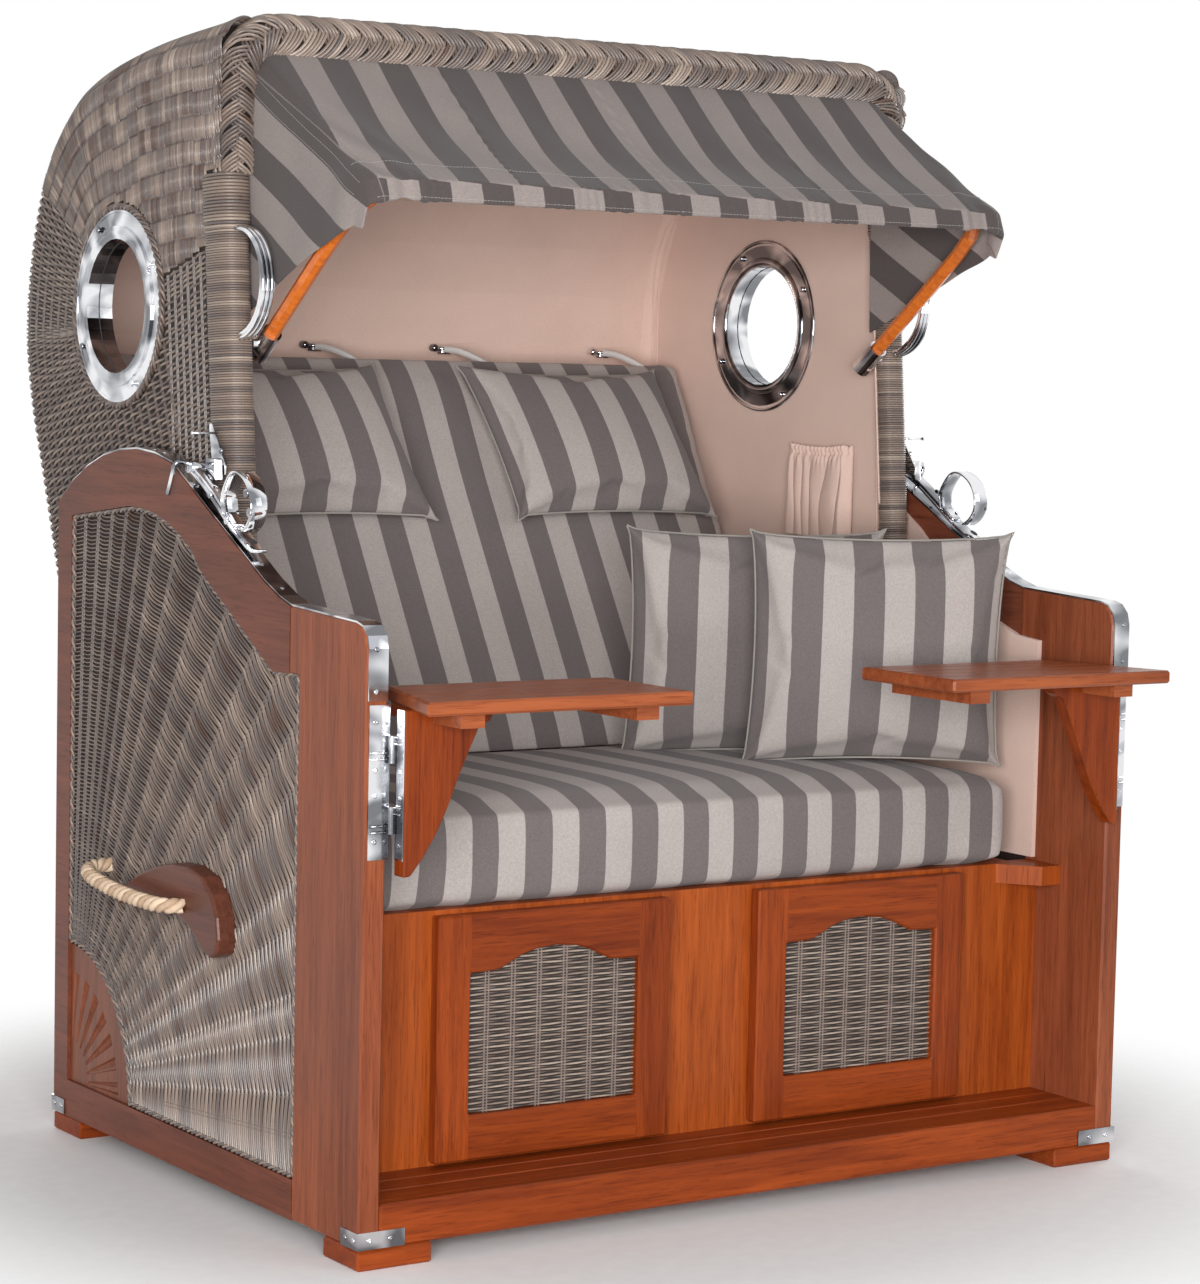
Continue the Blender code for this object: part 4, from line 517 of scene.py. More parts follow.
def curve_through(points, counts):
    """Catmull-Rom samples, with a number of steps for each span; points is (n, ..., 3)."""
    points = np.asarray(points, float)
    ends = np.concatenate([[2 * points[0] - points[1]], points, [2 * points[-1] - points[-2]]])
    parts = []
    for a, b, c, d, count in zip(ends, ends[1:], ends[2:], ends[3:], counts):
        t = np.linspace(0, 1, count, endpoint=False).reshape((-1,) + (1,) * (points.ndim - 1))
        bend, twist = 2 * a - 5 * b + 4 * c - d, 3 * b - a - 3 * c + d
        parts.append(0.5 * (2 * b + (c - a) * t + bend * t ** 2 + twist * t ** 3))
    return np.concatenate(parts + [points[-1:]])


def smooth_line(points, step):
    """A rounded line through the points, evenly sampled."""
    return resample(curve_through(points, [12] * (len(points) - 1)), step)


def profile_lines(step):
    """The hood's outline at even steps, its direction, and the way inward from it."""
    line = smooth_line(HOOD_PROFILE, step)
    along = unit(np.gradient(line, axis=0))
    return line, along, np.column_stack([along[:, 1], -along[:, 0]])


PROFILE, PROFILE_ALONG, PROFILE_IN = profile_lines(HOOD_WEFT)
PLAIN_PROFILE, _, PLAIN_IN = profile_lines(0.0070)


def hood_surface(sign, start, inward, reach, height):
    """Points on the hood's side at a reach from its outline, rounded over the corner onto the shell."""
    reach = np.asarray(reach, float)
    turn = np.clip(reach / HOOD_CORNER, 0, math.pi / 2)
    rounded, beyond = HOOD_CORNER * (1 - np.cos(turn)), reach - HOOD_CORNER * (math.pi / 2 - 1)
    depth = np.where(reach < HOOD_CORNER * math.pi / 2, rounded, beyond)
    across = HOOD_X - HOOD_CORNER * (1 - np.sin(turn))
    out_x, out_in = np.sin(turn), -np.cos(turn)
    flat = start + inward * (depth + height * out_in)[:, None]
    place = np.column_stack([sign * (across + height * out_x), flat[:, 0], flat[:, 1]])
    normal = np.column_stack([sign * out_x, out_in * inward[0], out_in * inward[1]])
    return place, normal, depth


RIM_LINE = yz([(0.4635, 0.700), (0.4635, 0.905), (0.4900, 1.200), (0.5020, 1.334), (0.5070, 1.392), (0.5080, 1.600)])
BAND_FLOOR = yz([(0.667, 1.238), (0.500, 1.290)])


def rim_y(z):
    """Where the hood's front edge is at a height."""
    return np.interp(z, RIM_LINE[:, 1], RIM_LINE[:, 0])


FLOOR_SLOPE = (BAND_FLOOR[1, 1] - BAND_FLOOR[0, 1]) / (BAND_FLOOR[1, 0] - BAND_FLOOR[0, 0])
STAKE_PITCH = 0.0256
FRONT_STAKES = 0.0200
BANDS_END = 1.385


def away(flat, centre):
    """Distance of points of the side plane from a centre."""
    return np.linalg.norm(flat - centre, axis=1)


def front_limit(z):
    """How far forward the side's own strands reach: under the post's wraps, or up to the plaited border."""
    return rim_y(z) + np.where(z < 1.378, 0.0315, -0.0120)


def floor_at(y):
    """Lower edge of the bands in front of the porthole."""
    return BAND_FLOOR[0, 1] + FLOOR_SLOPE * (y - BAND_FLOOR[0, 0])


def side_course(start, inward, reach):
    """A weft's line over the side; one from the rear bends upward in front of the porthole."""
    depth = hood_surface(1, start, inward, reach, 0 * reach)[2]
    flat = start + inward * depth[:, None]
    rise = np.zeros(len(flat))
    if abs(inward[1]) < 0.6:
        past_port = np.maximum(PORT[0] - flat[:, 0], 0)
        rise = (inward[1] / inward[0] - FLOOR_SLOPE) * (past_port - 0.03 * (1 - np.exp(-past_port / 0.03)))
        flat[:, 1] += rise
    return flat, rise


def band_wefts(sign):
    """Long floats in bands, from the top outline down to the porthole and the band floor, with painted shade where they
    dive at the band edges.
    """
    runs = []
    count = len(PROFILE)
    shades = np.array([grouped_tones(count, 8) for _ in BANDS])
    band_shift = np.repeat(RNG.uniform(-0.004, 0.004, count // 6 + 2), 6)
    reach = np.arange(0.0, 0.72, 0.0050)
    for index in np.flatnonzero(PROFILE[:, 1] > BANDS_END):
        start, inward = PROFILE[index], PROFILE_IN[index]
        flat, _ = side_course(start, inward, reach)
        keep = (flat[:, 0] > front_limit(flat[:, 1])) & (np.cumsum(away(flat, PORT) < PORT_CLEAR) == 0)
        keep &= (flat[:, 1] > floor_at(flat[:, 0])) | (flat[:, 0] > PORT[0] - 0.10)
        for a, b in kept_runs(keep):
            d = reach[a:b] + band_shift[index]
            k = np.clip(np.searchsorted(BANDS, d) - 1, 0, len(BANDS) - 2)
            t = np.clip((d - BANDS[k]) / (BANDS[k + 1] - BANDS[k]), 0, 1)
            height = 0.0052 * np.sin(math.pi * t) ** 0.6 - 0.0018
            place, normal, _ = hood_surface(sign, start, inward, reach[a:b], height)
            place[:, 1:] -= PROFILE_ALONG[index] * (0.0055 * np.sin(math.pi * t))[:, None]
            # painted shade: the float is darkened near each band edge, where it dives
            dive = np.exp(-(np.minimum(t, 1 - t) / 0.08) ** 2)
            runs.append((place, normal, 0.0020, 0.0022, shades[k, index] - 0.36 * dive))
    return runs


def plain_wefts(sign):
    """Openwork plain weave behind and below the porthole and up to the post."""
    runs = []
    reach = np.arange(0.0, 0.72, 0.0050)
    last_level = 9.0
    tones = 0.60 + 0.5 * (grouped_tones(len(PLAIN_PROFILE), 2) - 0.62)
    for index in np.flatnonzero(PLAIN_PROFILE[:, 1] <= BANDS_END):
        start, inward = PLAIN_PROFILE[index], PLAIN_IN[index]
        flat, rise = side_course(start, inward, reach)
        before = np.cumsum(away(flat, PORT) < PORT_CLEAR) == 0
        ahead = flat[:, 0] < PORT[0]
        level = np.interp(-0.02, flat[::-1, 0], flat[::-1, 1])
        crowded = last_level - level < 0.0066
        if not crowded:
            last_level = level
        keep = (flat[:, 0] > front_limit(flat[:, 1])) & (away(flat, PIVOT) > ARCH_CLEAR)
        keep &= (away(flat, PORT) > PORT_CLEAR) & (before | (flat[:, 1] < floor_at(flat[:, 0])))
        keep &= ~ahead | ((flat[:, 1] < floor_at(flat[:, 0])) & (not crowded))
        front_turns = (flat[:, 0] - 0.10 * (flat[:, 1] - 1.2) + 0.055) / FRONT_STAKES
        turns = np.where(ahead, front_turns, (reach - STAKE_PITCH / 2) / STAKE_PITCH)
        for a, b in kept_runs(keep):
            height = 0.0022 * np.cos(math.pi * (turns[a:b] + index)) + 0.0010
            place, normal, _ = hood_surface(sign, start, inward, reach[a:b], height)
            place[:, 2] += rise[a:b]
            # painted shade and highlight: lighter where the weft rides over a stake, darker where it dives under
            tone = tones[index] + 0.16 * np.cos(math.pi * (turns[a:b] + index))
            runs.append((place, normal, 0.0019, 0.0019, tone))
    return runs


def hood_side_stakes(sign):
    """Paired stakes that run along the outline under the plain weave."""
    runs = []
    profile, inward = PLAIN_PROFILE, PLAIN_IN
    for level in np.arange(STAKE_PITCH / 2, 0.50, STAKE_PITCH):
        for shift in (-0.0020, 0.0020):
            reach = np.array([level + shift])
            spots = [hood_surface(sign, profile[i], inward[i], reach, np.zeros(1)) for i in range(2, len(profile))]
            lines, normals = (np.array([spot[part][0] for spot in spots]) for part in (0, 1))
            flat = lines[:, 1:]
            steps = np.concatenate([[1], np.linalg.norm(np.diff(flat, axis=0), axis=1)])
            keep = (away(flat, PORT) > PORT_CLEAR) & (away(flat, PIVOT) > ARCH_CLEAR)
            keep &= (flat[:, 0] > front_limit(flat[:, 1])) & (steps > 0.001) & (profile[2:, 1] < BANDS_END)
            keep &= (flat[:, 0] > PORT[0]) | (flat[:, 1] < PORT[1])
            for a, b in kept_runs(keep):
                runs.append((lines[a:b], normals[a:b], 0.0012, 0.0015, 0.42))
    return runs


def front_stakes(sign):
    """Upright paired stakes in front of the porthole."""
    runs = []
    for y in np.arange(-0.055, 0.130, FRONT_STAKES):
        for shift in (-0.0020, 0.0020):
            z = np.arange(0.90, 1.34, 0.006)
            flat = np.column_stack([y + shift + 0.10 * (z - 1.2), z])
            keep = (away(flat, PORT) > PORT_CLEAR) & (away(flat, PIVOT) > ARCH_CLEAR)
            keep &= (flat[:, 0] > front_limit(z)) & (z < floor_at(flat[:, 0]))
            for a, b in kept_runs(keep):
                place = np.column_stack([np.full(b - a, sign * HOOD_X), flat[a:b]])
                runs.append((place, (sign, 0, 0), 0.0012, 0.0017, 0.55))
    return runs


def port_circle(x, radius, count):
    """A closed path round the porthole's middle."""
    turn = np.linspace(0, 2 * math.pi, count)
    return np.column_stack([np.full(count, x), PORT[0] + radius * np.cos(turn), PORT[1] + radius * np.sin(turn)])


def port_border(side, sign):
    """The twisted edge of the weave round the porthole."""
    path = port_circle(sign * (HOOD_X + 0.0035), 0.1405, 240)
    runs = twist_runs(path, (sign, 0, 0), 0.0032, 0.0026, 0.034, (0.66, 0.50, 0.40))
    woven(side + "_port_border", runs, "hood", closed=True)


def shell_wefts():
    """Strands across the top and rear of the hood, over the corners from side to side."""
    runs = []
    half = HOOD_X - HOOD_CORNER
    x = np.linspace(-half, half, 121)
    shades = grouped_tones(len(PROFILE), 5)
    for index in range(4, len(PROFILE)):
        height = 0.0014 * np.cos(math.pi * ((x + half) / 0.0400 + index)) + 0.0012
        out = -PROFILE_IN[index]
        flat = PROFILE[index] + out * height[:, None]
        runs.append((np.column_stack([x, flat]), (0, *out), 0.0020, 0.0018, shades[index]))
    return runs


def shell_stakes():
    """Paired stakes down the top and rear of the hood."""
    runs = []
    half = HOOD_X - HOOD_CORNER
    out = -PROFILE_IN
    for x in np.arange(-half + 0.02, half, 0.04):
        for shift in (-0.003, 0.003):
            line = PROFILE + out * 0.0008
            path = np.column_stack([np.full(len(line), x + shift), line])
            normal = np.column_stack([np.zeros(len(line)), out])
            runs.append((path[2::2], normal[2::2], 0.0017, 0.0018, 0.60))
    return runs


def hood_weave():
    """The hood's weave on both sides, top and rear."""
    for side, sign in SIDES:
        runs = band_wefts(sign) + plain_wefts(sign) + hood_side_stakes(sign) + front_stakes(sign)
        woven(side + "_hood_weave", runs, "hood")
        port_border(side, sign)
    wefts = shell_wefts()
    woven("hood_top_weave", wefts[:len(wefts) // 2], "hood")
    woven("hood_rear_weave", wefts[len(wefts) // 2:], "hood")
    woven("hood_rear_stakes", shell_stakes(), "hood")


# ---------------------------------------------------------------- hood rim

RIM_X = 0.5585
RIM_HALF = yz([
    (0.4635, 0.905), (0.467, 0.944), (0.4744, 1.026), (0.4824, 1.115), (0.4900, 1.200), (0.4977, 1.286),
    (0.5020, 1.334), (0.5028, 1.342), (0.5060, 1.392), (0.5073, 1.410),
])
RIM_CAD_RADIUS = 0.0335
RIM_CAD_TOP = 1.5565
BRAID_X = 0.5510
BRAID_TOP = 1.5630
BRAID_FRONT = -0.0155
BRAID_LOW = 1.376
CORNER_BEND = 0.056


def wrap_ring(r):
    """One turn round post and edge, from above: (outward, back) points and their normals."""
    ring = smooth_line([
        (0.010, 0.022), (0.0, r), (-0.72 * r, 0.72 * r), (-r, 0.0), (-0.72 * r, -0.72 * r), (0.0, -r),
        (0.74 * r, -0.76 * r),
        (r + 0.0015, -0.15 * r), (r + 0.0042, 0.010), (r + 0.0046, 0.030), (r + 0.0010, 0.0355), (0.0125, 0.0345),
    ], 0.0042)
    along = np.gradient(ring, axis=0)
    normal = np.column_stack([along[:, 1], -along[:, 0]])
    return ring, normal / np.linalg.norm(normal, axis=1)[:, None]


def post_wraps():
    """Fine strands wound round each post and the front edge of the side, thicker at the collar."""
    runs = []
    for _, sign in SIDES:
        for low, high, radius, pitch, strand, longest in (
            (0.790, 1.304, 0.0202, 0.0034, 0.00155, 2), (1.306, 1.379, 0.0222, 0.0046, 0.0021, 2),
        ):
            ring, normal = wrap_ring(radius)
            levels = np.arange(low, high, pitch)
            shades = 0.66 + 0.9 * (grouped_tones(len(levels), longest) - 0.60)
            for z, shade in zip(levels, shades):
                y = np.interp(z, RIM_HALF[:, 1], RIM_HALF[:, 0])
                path = np.column_stack([sign * (RIM_X + ring[:, 0]), y + ring[:, 1], z - 0.0012 * ring[:, 1] / radius])
                out = np.column_stack([sign * normal[:, 0], normal[:, 1], np.zeros(len(ring))])
                runs.append((path, out, strand, strand * 0.9, shade))
    woven("hood_post_wraps", runs, "hood")


def border_line(x, front, low, top):
    """The line up one post, round the corner, over the top and down the other post."""
    corner = []
    for turn in np.radians(np.linspace(180, 90, 9)):
        corner.append((-x + CORNER_BEND * (1 + math.cos(turn)), top - CORNER_BEND * (1 - math.sin(turn))))
    half = [(-x, front, z) for z in np.linspace(low, top - CORNER_BEND - 0.01, 5)]
    half += [(-a, front, b) if a > 0 else (a, front, b) for a, b in corner]
    other = [(-a, y, z) for a, y, z in half[::-1]]
    return resample(np.array(half + other), 0.0025)


def braid_radius(path):
    """The border is slim where it leaves the collar and full across the top."""
    up = np.interp(path[:, 2], (BRAID_LOW, 1.50), (0.0205, 0.0245))
    off = np.abs(path[:, 0])
    return np.where(off < 0.49, 0.0275, np.interp(off, (0.49, BRAID_X), (0.0275, 0.0250)) + up - 0.0245)


def braid():
    """The plaited border: bundles from each side bend over the front, cross the middle and dive under."""
    path = border_line(BRAID_X, BRAID_FRONT, BRAID_LOW, BRAID_TOP)
    radii = braid_radius(path)
    front = np.array([0.0, -1.0, 0.0])
    across, _ = lay_of(path, front)
    length = reaches(path)
    total = length[-1]
    repeat, members, spread, half_width = 0.0335, 5, 0.0049, 0.00215
    swing, wave, hidden = 1.70, 0.172, 2.6
    outward = np.interp(np.abs(path[:, 0]), (0.30, 0.54), (0.16, 0.40))
    theta = np.linspace(hidden, -0.36, 44)
    straight = 1.25
    beyond = swing * (math.sin(straight) + math.cos(straight) * (theta - straight))
    own = np.where(theta < straight, swing * np.sin(theta), beyond)
    advance = wave / (2 * math.pi) * (hidden - theta)
    slide = np.gradient(advance)
    mean_radius = 0.0265
    swung = np.gradient(own) * mean_radius
    speed = np.hypot(slide, swung)
    runs = []
    for index in range(-4, int(total / repeat) + 3):
        for direction in (1, -1):
            base = index * repeat + (repeat / 2 if direction < 0 else 0)
            shade = RNG.choice([0.54, 0.62, 0.70, 0.78])
            for member in range(members):
                aside = (member - (members - 1) / 2) * spread
                reach = base + advance - aside * swung / speed
                turned = own + aside * slide / speed / mean_radius
                centre = at_reach(reach, length, path)
                side = unit(at_reach(reach, length, across))
                turn = turned * direction - np.interp(reach, length, outward)
                crown = 0.0014 * (1 - (aside / 0.0098) ** 2)
                radius = np.interp(reach, length, radii) + 0.0030 * np.tanh((turned + 0.10) / 0.16) + crown - 0.002
                where = side * np.sin(turn)[:, None] + front * np.cos(turn)[:, None]
                keep = (reach > 0.001) & (reach < total - 0.001)
                tone = shade + RNG.normal(0, 0.08)
                for a, b in kept_runs(keep):
                    ring = centre[a:b] + where[a:b] * radius[a:b, None]
                    runs.append((ring, where[a:b], half_width, half_width * 1.35, tone))
    woven("hood_braid", runs, "hood")


def edge_cord():
    """A thick strand pair along the front edge of each side, between its bands and the border."""
    runs = []
    for _, sign in SIDES:
        z = np.arange(1.378, 1.520, 0.003)
        path = np.column_stack([np.full(len(z), sign * 0.5800), np.full(len(z), BRAID_FRONT + 0.006), z])
        runs += twist_runs(path, (sign, 0, 0), 0.0024, 0.0026, 0.11, (0.70, 0.55))
    woven("hood_edge_cord", runs, "hood", closed=True)


def shell_core():
    """The hood's shell under its strands, with the border's core drawn in to the plait's own size."""
    source = NODES["hood_shell"]
    mesh = source.data.copy()
    corners = points_of(mesh)
    old = border_line(RIM_X, -0.0125, 1.390, RIM_CAD_TOP)
    new = border_line(BRAID_X, BRAID_FRONT, BRAID_LOW, BRAID_TOP)
    new = new[np.linspace(0, len(new) - 1, len(old)).round().astype(int)]
    radii = braid_radius(new) - 0.0035
    for index, corner in enumerate(corners):
        if corner[2] < 1.385:
            continue
        reach = np.linalg.norm(old - corner, axis=1)
        near = reach.argmin()
        if reach[near] < RIM_CAD_RADIUS + 0.0012:
            corners[index] = new[near] + (corner - old[near]) * radii[near] / RIM_CAD_RADIUS
    set_points(mesh, corners)
    # the core carries the backing's painted shade
    core = new_object("hood_core", mesh, BACKING)
    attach(core, "hood")
    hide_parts("hood_shell")


# ---------------------------------------------------------------- cloth

STRIPE = 0.0425


def crossed_yarns(s, one_way, other_way):
    """Fine noise stretched two ways, as warp and weft."""
    yarns = [s.math("MULTIPLY", s.noise(s.coords(scale), 1.0, 2, 0.7), 0.5) for scale in (one_way, other_way)]
    return s.math("ADD", *yarns)


def striped_cloth(name, light, dark):
    """Two-tone woven stripes that follow the mesh's stripe attribute, in metres."""
    s = Shader(name)
    along = s.attribute("stripe")
    wobble = s.noise(s.coords((30, 30, 30)), 3.0, 2)
    place = s.math("ADD", along, s.scaled(wobble, -0.0004, 0.0004))
    turn = s.math("FRACT", s.math("DIVIDE", place, STRIPE * 2))
    edge = s.ramp(turn, (
        (0.0, (0, 0, 0)), (0.006, (1, 1, 1)), (0.494, (1, 1, 1)), (0.506, (0, 0, 0)),
    ))
    weave = crossed_yarns(s, (900, 260, 900), (260, 900, 300))
    cloudy = s.noise(s.coords((7, 7, 7)), 1.0, 3, 0.6)
    yarns = s.ramp(weave, ((0.30, (0.52, 0.51, 0.50)), (0.70, (1.25, 1.25, 1.25))))
    worn = s.ramp(cloudy, ((0.3, (0.82, 0.82, 0.83)), (0.7, (1.08, 1.07, 1.06))))
    shade = s.mix(0.55, s.mix(edge, dark, light), yarns, "MULTIPLY")
    shade = s.mix(0.35, shade, worn, "MULTIPLY")
    s.put(Base_Color=shade, Roughness=0.86, Specular_IOR_Level=0.25, Sheen_Weight=0.12, Sheen_Roughness=0.6)
    s.bump(weave, 0.35, 0.0006)
    return s.mat


def plain_cloth(name, colour, deeper):
    """Canvas in one colour, a little deeper in places."""
    s = Shader(name)
    weave = crossed_yarns(s, (1100, 1100, 240), (240, 240, 1100))
    cloudy = s.noise(s.coords((5, 5, 5)), 1.0, 3, 0.6)
    shade = s.ramp(cloudy, ((0.30, deeper), (0.70, colour)))
    shade = s.mix(0.4, shade, s.ramp(weave, ((0.3, (0.72, 0.70, 0.69)), (0.7, (1.12, 1.12, 1.12)))), "MULTIPLY")
    s.put(Base_Color=shade, Roughness=0.9, Specular_IOR_Level=0.2, Sheen_Weight=0.08)
    s.bump(s.math("ADD", weave, s.math("MULTIPLY", cloudy, 2.0)), 0.25, 0.0009)
    return s.mat


def new_object(name, mesh, finish=None):
    """A linked object, with one finish where that is given."""
    thing = bpy.data.objects.new(name, mesh)
    bpy.context.scene.collection.objects.link(thing)
    if finish is not None:
        mesh.materials.clear()
        mesh.materials.append(finish)
    return thing


def applied(thing):
    """Applies the object's modifiers to its mesh."""
    graph = bpy.context.evaluated_depsgraph_get()
    mesh = bpy.data.meshes.new_from_object(thing.evaluated_get(graph), depsgraph=graph)
    thing.modifiers.clear()
    thing.data = mesh


def points_of(mesh):
    """The mesh's corners as an array."""
    co = np.zeros(len(mesh.vertices) * 3)
    mesh.vertices.foreach_get("co", co)
    return co.reshape(-1, 3)


def set_points(mesh, points):
    mesh.vertices.foreach_set("co", np.asarray(points, np.float32).ravel())
    mesh.update()


def paint(mesh, name, values):
    """Writes one number for each corner of the mesh."""
    attribute = mesh.attributes.get(name) or mesh.attributes.new(name, "FLOAT", "POINT")
    attribute.data.foreach_set("value", np.asarray(values, np.float32))


def settle(thing, pressure, stiffness, bending, shrink, cap):
    """Lets the cover take its fullness and creases, and keeps each point near where it began."""
    before = points_of(thing.data)
    cloth = thing.modifiers.new("cover", "CLOTH")
    cloth.settings.quality = 5
    cloth.settings.mass = 0.25
    cloth.settings.tension_stiffness = stiffness
    cloth.settings.compression_stiffness = stiffness
    cloth.settings.shear_stiffness = stiffness * 0.4
    cloth.settings.bending_stiffness = bending
    cloth.settings.use_pressure = True
    cloth.settings.uniform_pressure_force = pressure
    cloth.settings.shrink_min = shrink
    cloth.settings.effector_weights.gravity = 0
    cloth.collision_settings.use_collision = False
    first, last = 1, 20
    cloth.point_cache.frame_start = first
    cloth.point_cache.frame_end = last
    for frame_number in range(first, last + 1):
        bpy.context.scene.frame_set(frame_number)
    applied(thing)
    bpy.context.scene.frame_set(first)
    move = points_of(thing.data) - before
    far = np.linalg.norm(move, axis=1)
    kept = np.where(far > cap, cap / np.maximum(far, 1e-9), 1.0)
    set_points(thing.data, before + move * kept[:, None])


def subdivided(thing):
    """Rounds the mesh by one level."""
    bend = thing.modifiers.new("smooth", "SUBSURF")
    bend.levels = 1
    bend.render_levels = 1
    applied(thing)
    thing.data.polygons.foreach_set("use_smooth", np.ones(len(thing.data.polygons), bool))


def leaned(co):
    """The back cushion fuller towards its foot, so that its face leans as far as the photograph shows."""
    lean, height, thick = math.radians(20.5), 0.660, 0.111
    dy, dz = co[:, 1] - 0.2575, co[:, 2] - 0.508
    along = dy * math.sin(lean) + dz * math.cos(lean)
    out = np.clip(1 - (dy * math.cos(lean) - dz * math.sin(lean)) / thick, 0, 1)
    t = np.clip((along - 0.44) / 0.21, 0, 1)
    grown = co.copy()
    grown[:, 1] -= 0.222 * np.clip(height - along, 0, None) * out
    grown[:, 2] += 0.023 * t * t * (3 - 2 * t)
    # the fuller foot is drawn up where it would swing into the seat cushion as the hood leans back
    pin_y, pin_z, seat_top, seat_edge = 0.1365, 0.587, 0.5630, 0.183
    c, q = math.cos(math.radians(38)), math.sin(math.radians(38))
    y, z = grown[:, 1] - pin_y, grown[:, 2]
    floor = np.maximum(pin_z + (seat_top - pin_z + q * y) / c, 0.5570)
    near = np.clip((seat_edge - pin_y - c * y - q * (z - pin_z)) / 0.015, 0, 1)
    grown[:, 2] = z + np.clip(floor - z, 0, None) * near * near * (3 - 2 * near)
    return grown


def covered(thing, node):
    """The cushion cloth on the piece that stands for a node."""
    thing.data.materials.clear()
    thing.data.materials.append(CUSHION)
    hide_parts(node)


def boxed_cushion(name, node, reshape=None):
    """A boxed cushion from its solid: even mesh, cloth-settled cover."""
    thing = new_object(name, NODES[node].data.copy())
    remesh = thing.modifiers.new("even", "REMESH")
    remesh.mode = "VOXEL"
    remesh.voxel_size = 0.010
    applied(thing)
    for _ in range(2):
        smooth = thing.modifiers.new("soften", "SMOOTH")
        smooth.factor = 0.5
        smooth.iterations = 2
        applied(thing)
    paint(thing.data, "stripe", points_of(thing.data)[:, 0])
    settle(thing, 3.0, 18, 0.6, -0.012, 0.010)
    if reshape:
        set_points(thing.data, reshape(points_of(thing.data)))
    subdivided(thing)
    covered(thing, node)
    return thing


def flat_bag(name, width, height, rise, step):
    """Two layers of cloth joined round the edge, domed, with sides drawn in between the corners, in the XZ plane."""
    nx, nz = int(width / step) + 1, int(height / step) + 1
    x = np.linspace(-1, 1, nx)
    z = np.linspace(-1, 1, nz)
    gx, gz = np.meshgrid(x, z, indexing="ij")
    draw = 0.045
    dome = rise * np.maximum((1 - gx ** 2) * (1 - gz ** 2), 0) ** 0.62
    wide = gx * width / 2 * (1 - draw * (1 - gz ** 2))
    tall = gz * height / 2 * (1 - draw * (1 - gx ** 2))
    front = np.stack([wide, -dome, tall], -1)
    back = np.stack([wide, dome, tall], -1)
    index = np.arange(nx * nz).reshape(nx, nz)
    rim = np.zeros((nx, nz), bool)
    rim[0] = rim[-1] = True
    rim[:, 0] = rim[:, -1] = True
    other = index.copy()
    other[~rim] = nx * nz + np.arange((~rim).sum())
    corners = np.concatenate([front.reshape(-1, 3), back.reshape(-1, 3)[~rim.ravel()]])
    quads = []
    for layer, flip in ((index, False), (other, True)):
        quads.append(grid_quads(layer)[:, ::-1] if flip else grid_quads(layer))
    mesh = quad_mesh(name, corners, np.concatenate(quads))
    paint(mesh, "stripe", corners[:, 0])
    return new_object(name, mesh), index


def pillow(name, node, size, thickness, turn, body, shift):
    """A pillow blown up from a flat bag, then fitted to the place and size of its solid."""
    width, height = size
    step = 0.006
    thing, index = flat_bag(name, width, height, thickness * 0.42, step)
    settle(thing, 4, 15, 0.15, 0.0, 0.016)
    co = points_of(thing.data)
    low, high = co.min(0), co.max(0)
    co -= (low + high) / 2
    co *= np.array([width, thickness, height]) / (high - low)
    set_points(thing.data, co)
    ring = np.concatenate([index[:, 0], index[-1, 1:], index[-2::-1, -1], index[0, -2:0:-1]])
    seam = co[ring]
    subdivided(thing)
    box_low, box_high = (np.array(c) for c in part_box(node))
    place = Matrix.Translation(Vector((box_low + box_high) / 2 + np.array(shift))) @ turn
    thing.data.transform(place)
    covered(thing, node)
    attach(thing, body)
    path = [place @ Vector(p) for p in resample(seam, 0.005, closed=True)]
    tube(name + "_welt", path, 0.0016, PIPING, body, 6)


def frames_along(path):
    """Two normals at each point of a path, free of twist."""
    along = unit(np.gradient(path, axis=0))
    first = np.cross(along[0], (0, 0, 1))
    if np.linalg.norm(first) < 1e-3:
        first = np.cross(along[0], (0, 1, 0))
    sides = [first / np.linalg.norm(first)]
    for direction in along[1:]:
        sides.append(unit(sides[-1] - direction * np.dot(sides[-1], direction)))
    return np.array(sides), np.cross(along, sides)


def capped(mesh):
    """The mesh with its open ends closed."""
    form = bmesh.new()
    form.from_mesh(mesh)
    bmesh.ops.holes_fill(form, edges=[e for e in form.edges if e.is_boundary], sides=0)
    bmesh.ops.recalc_face_normals(form, faces=form.faces)
    form.to_mesh(mesh)
    form.free()
    return mesh


def carried(path, side, up, section):
    """A closed section carried along a path, between two directions."""
    ring = path[:, None] + side[:, None] * section[None, :, :1] + up[:, None] * section[None, :, 1:]
    return capped(quad_mesh("swept", ring.reshape(-1, 3), ring_quads(len(path), len(section))))


def swept(path, section):
    """A closed section carried along any path."""
    path = np.asarray([tuple(p) for p in path], float)
    return carried(path, *frames_along(path), section)


def rod(path, radius, sides):
    """A round section carried along any path."""
    return swept(path, around(sides) * radius)


def tube(name, path, radius, finish, body, sides):
    """A round cord or bead along a path."""
    thing = new_object(name, rod(path, radius, sides), finish)
    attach(thing, body)
    return thing


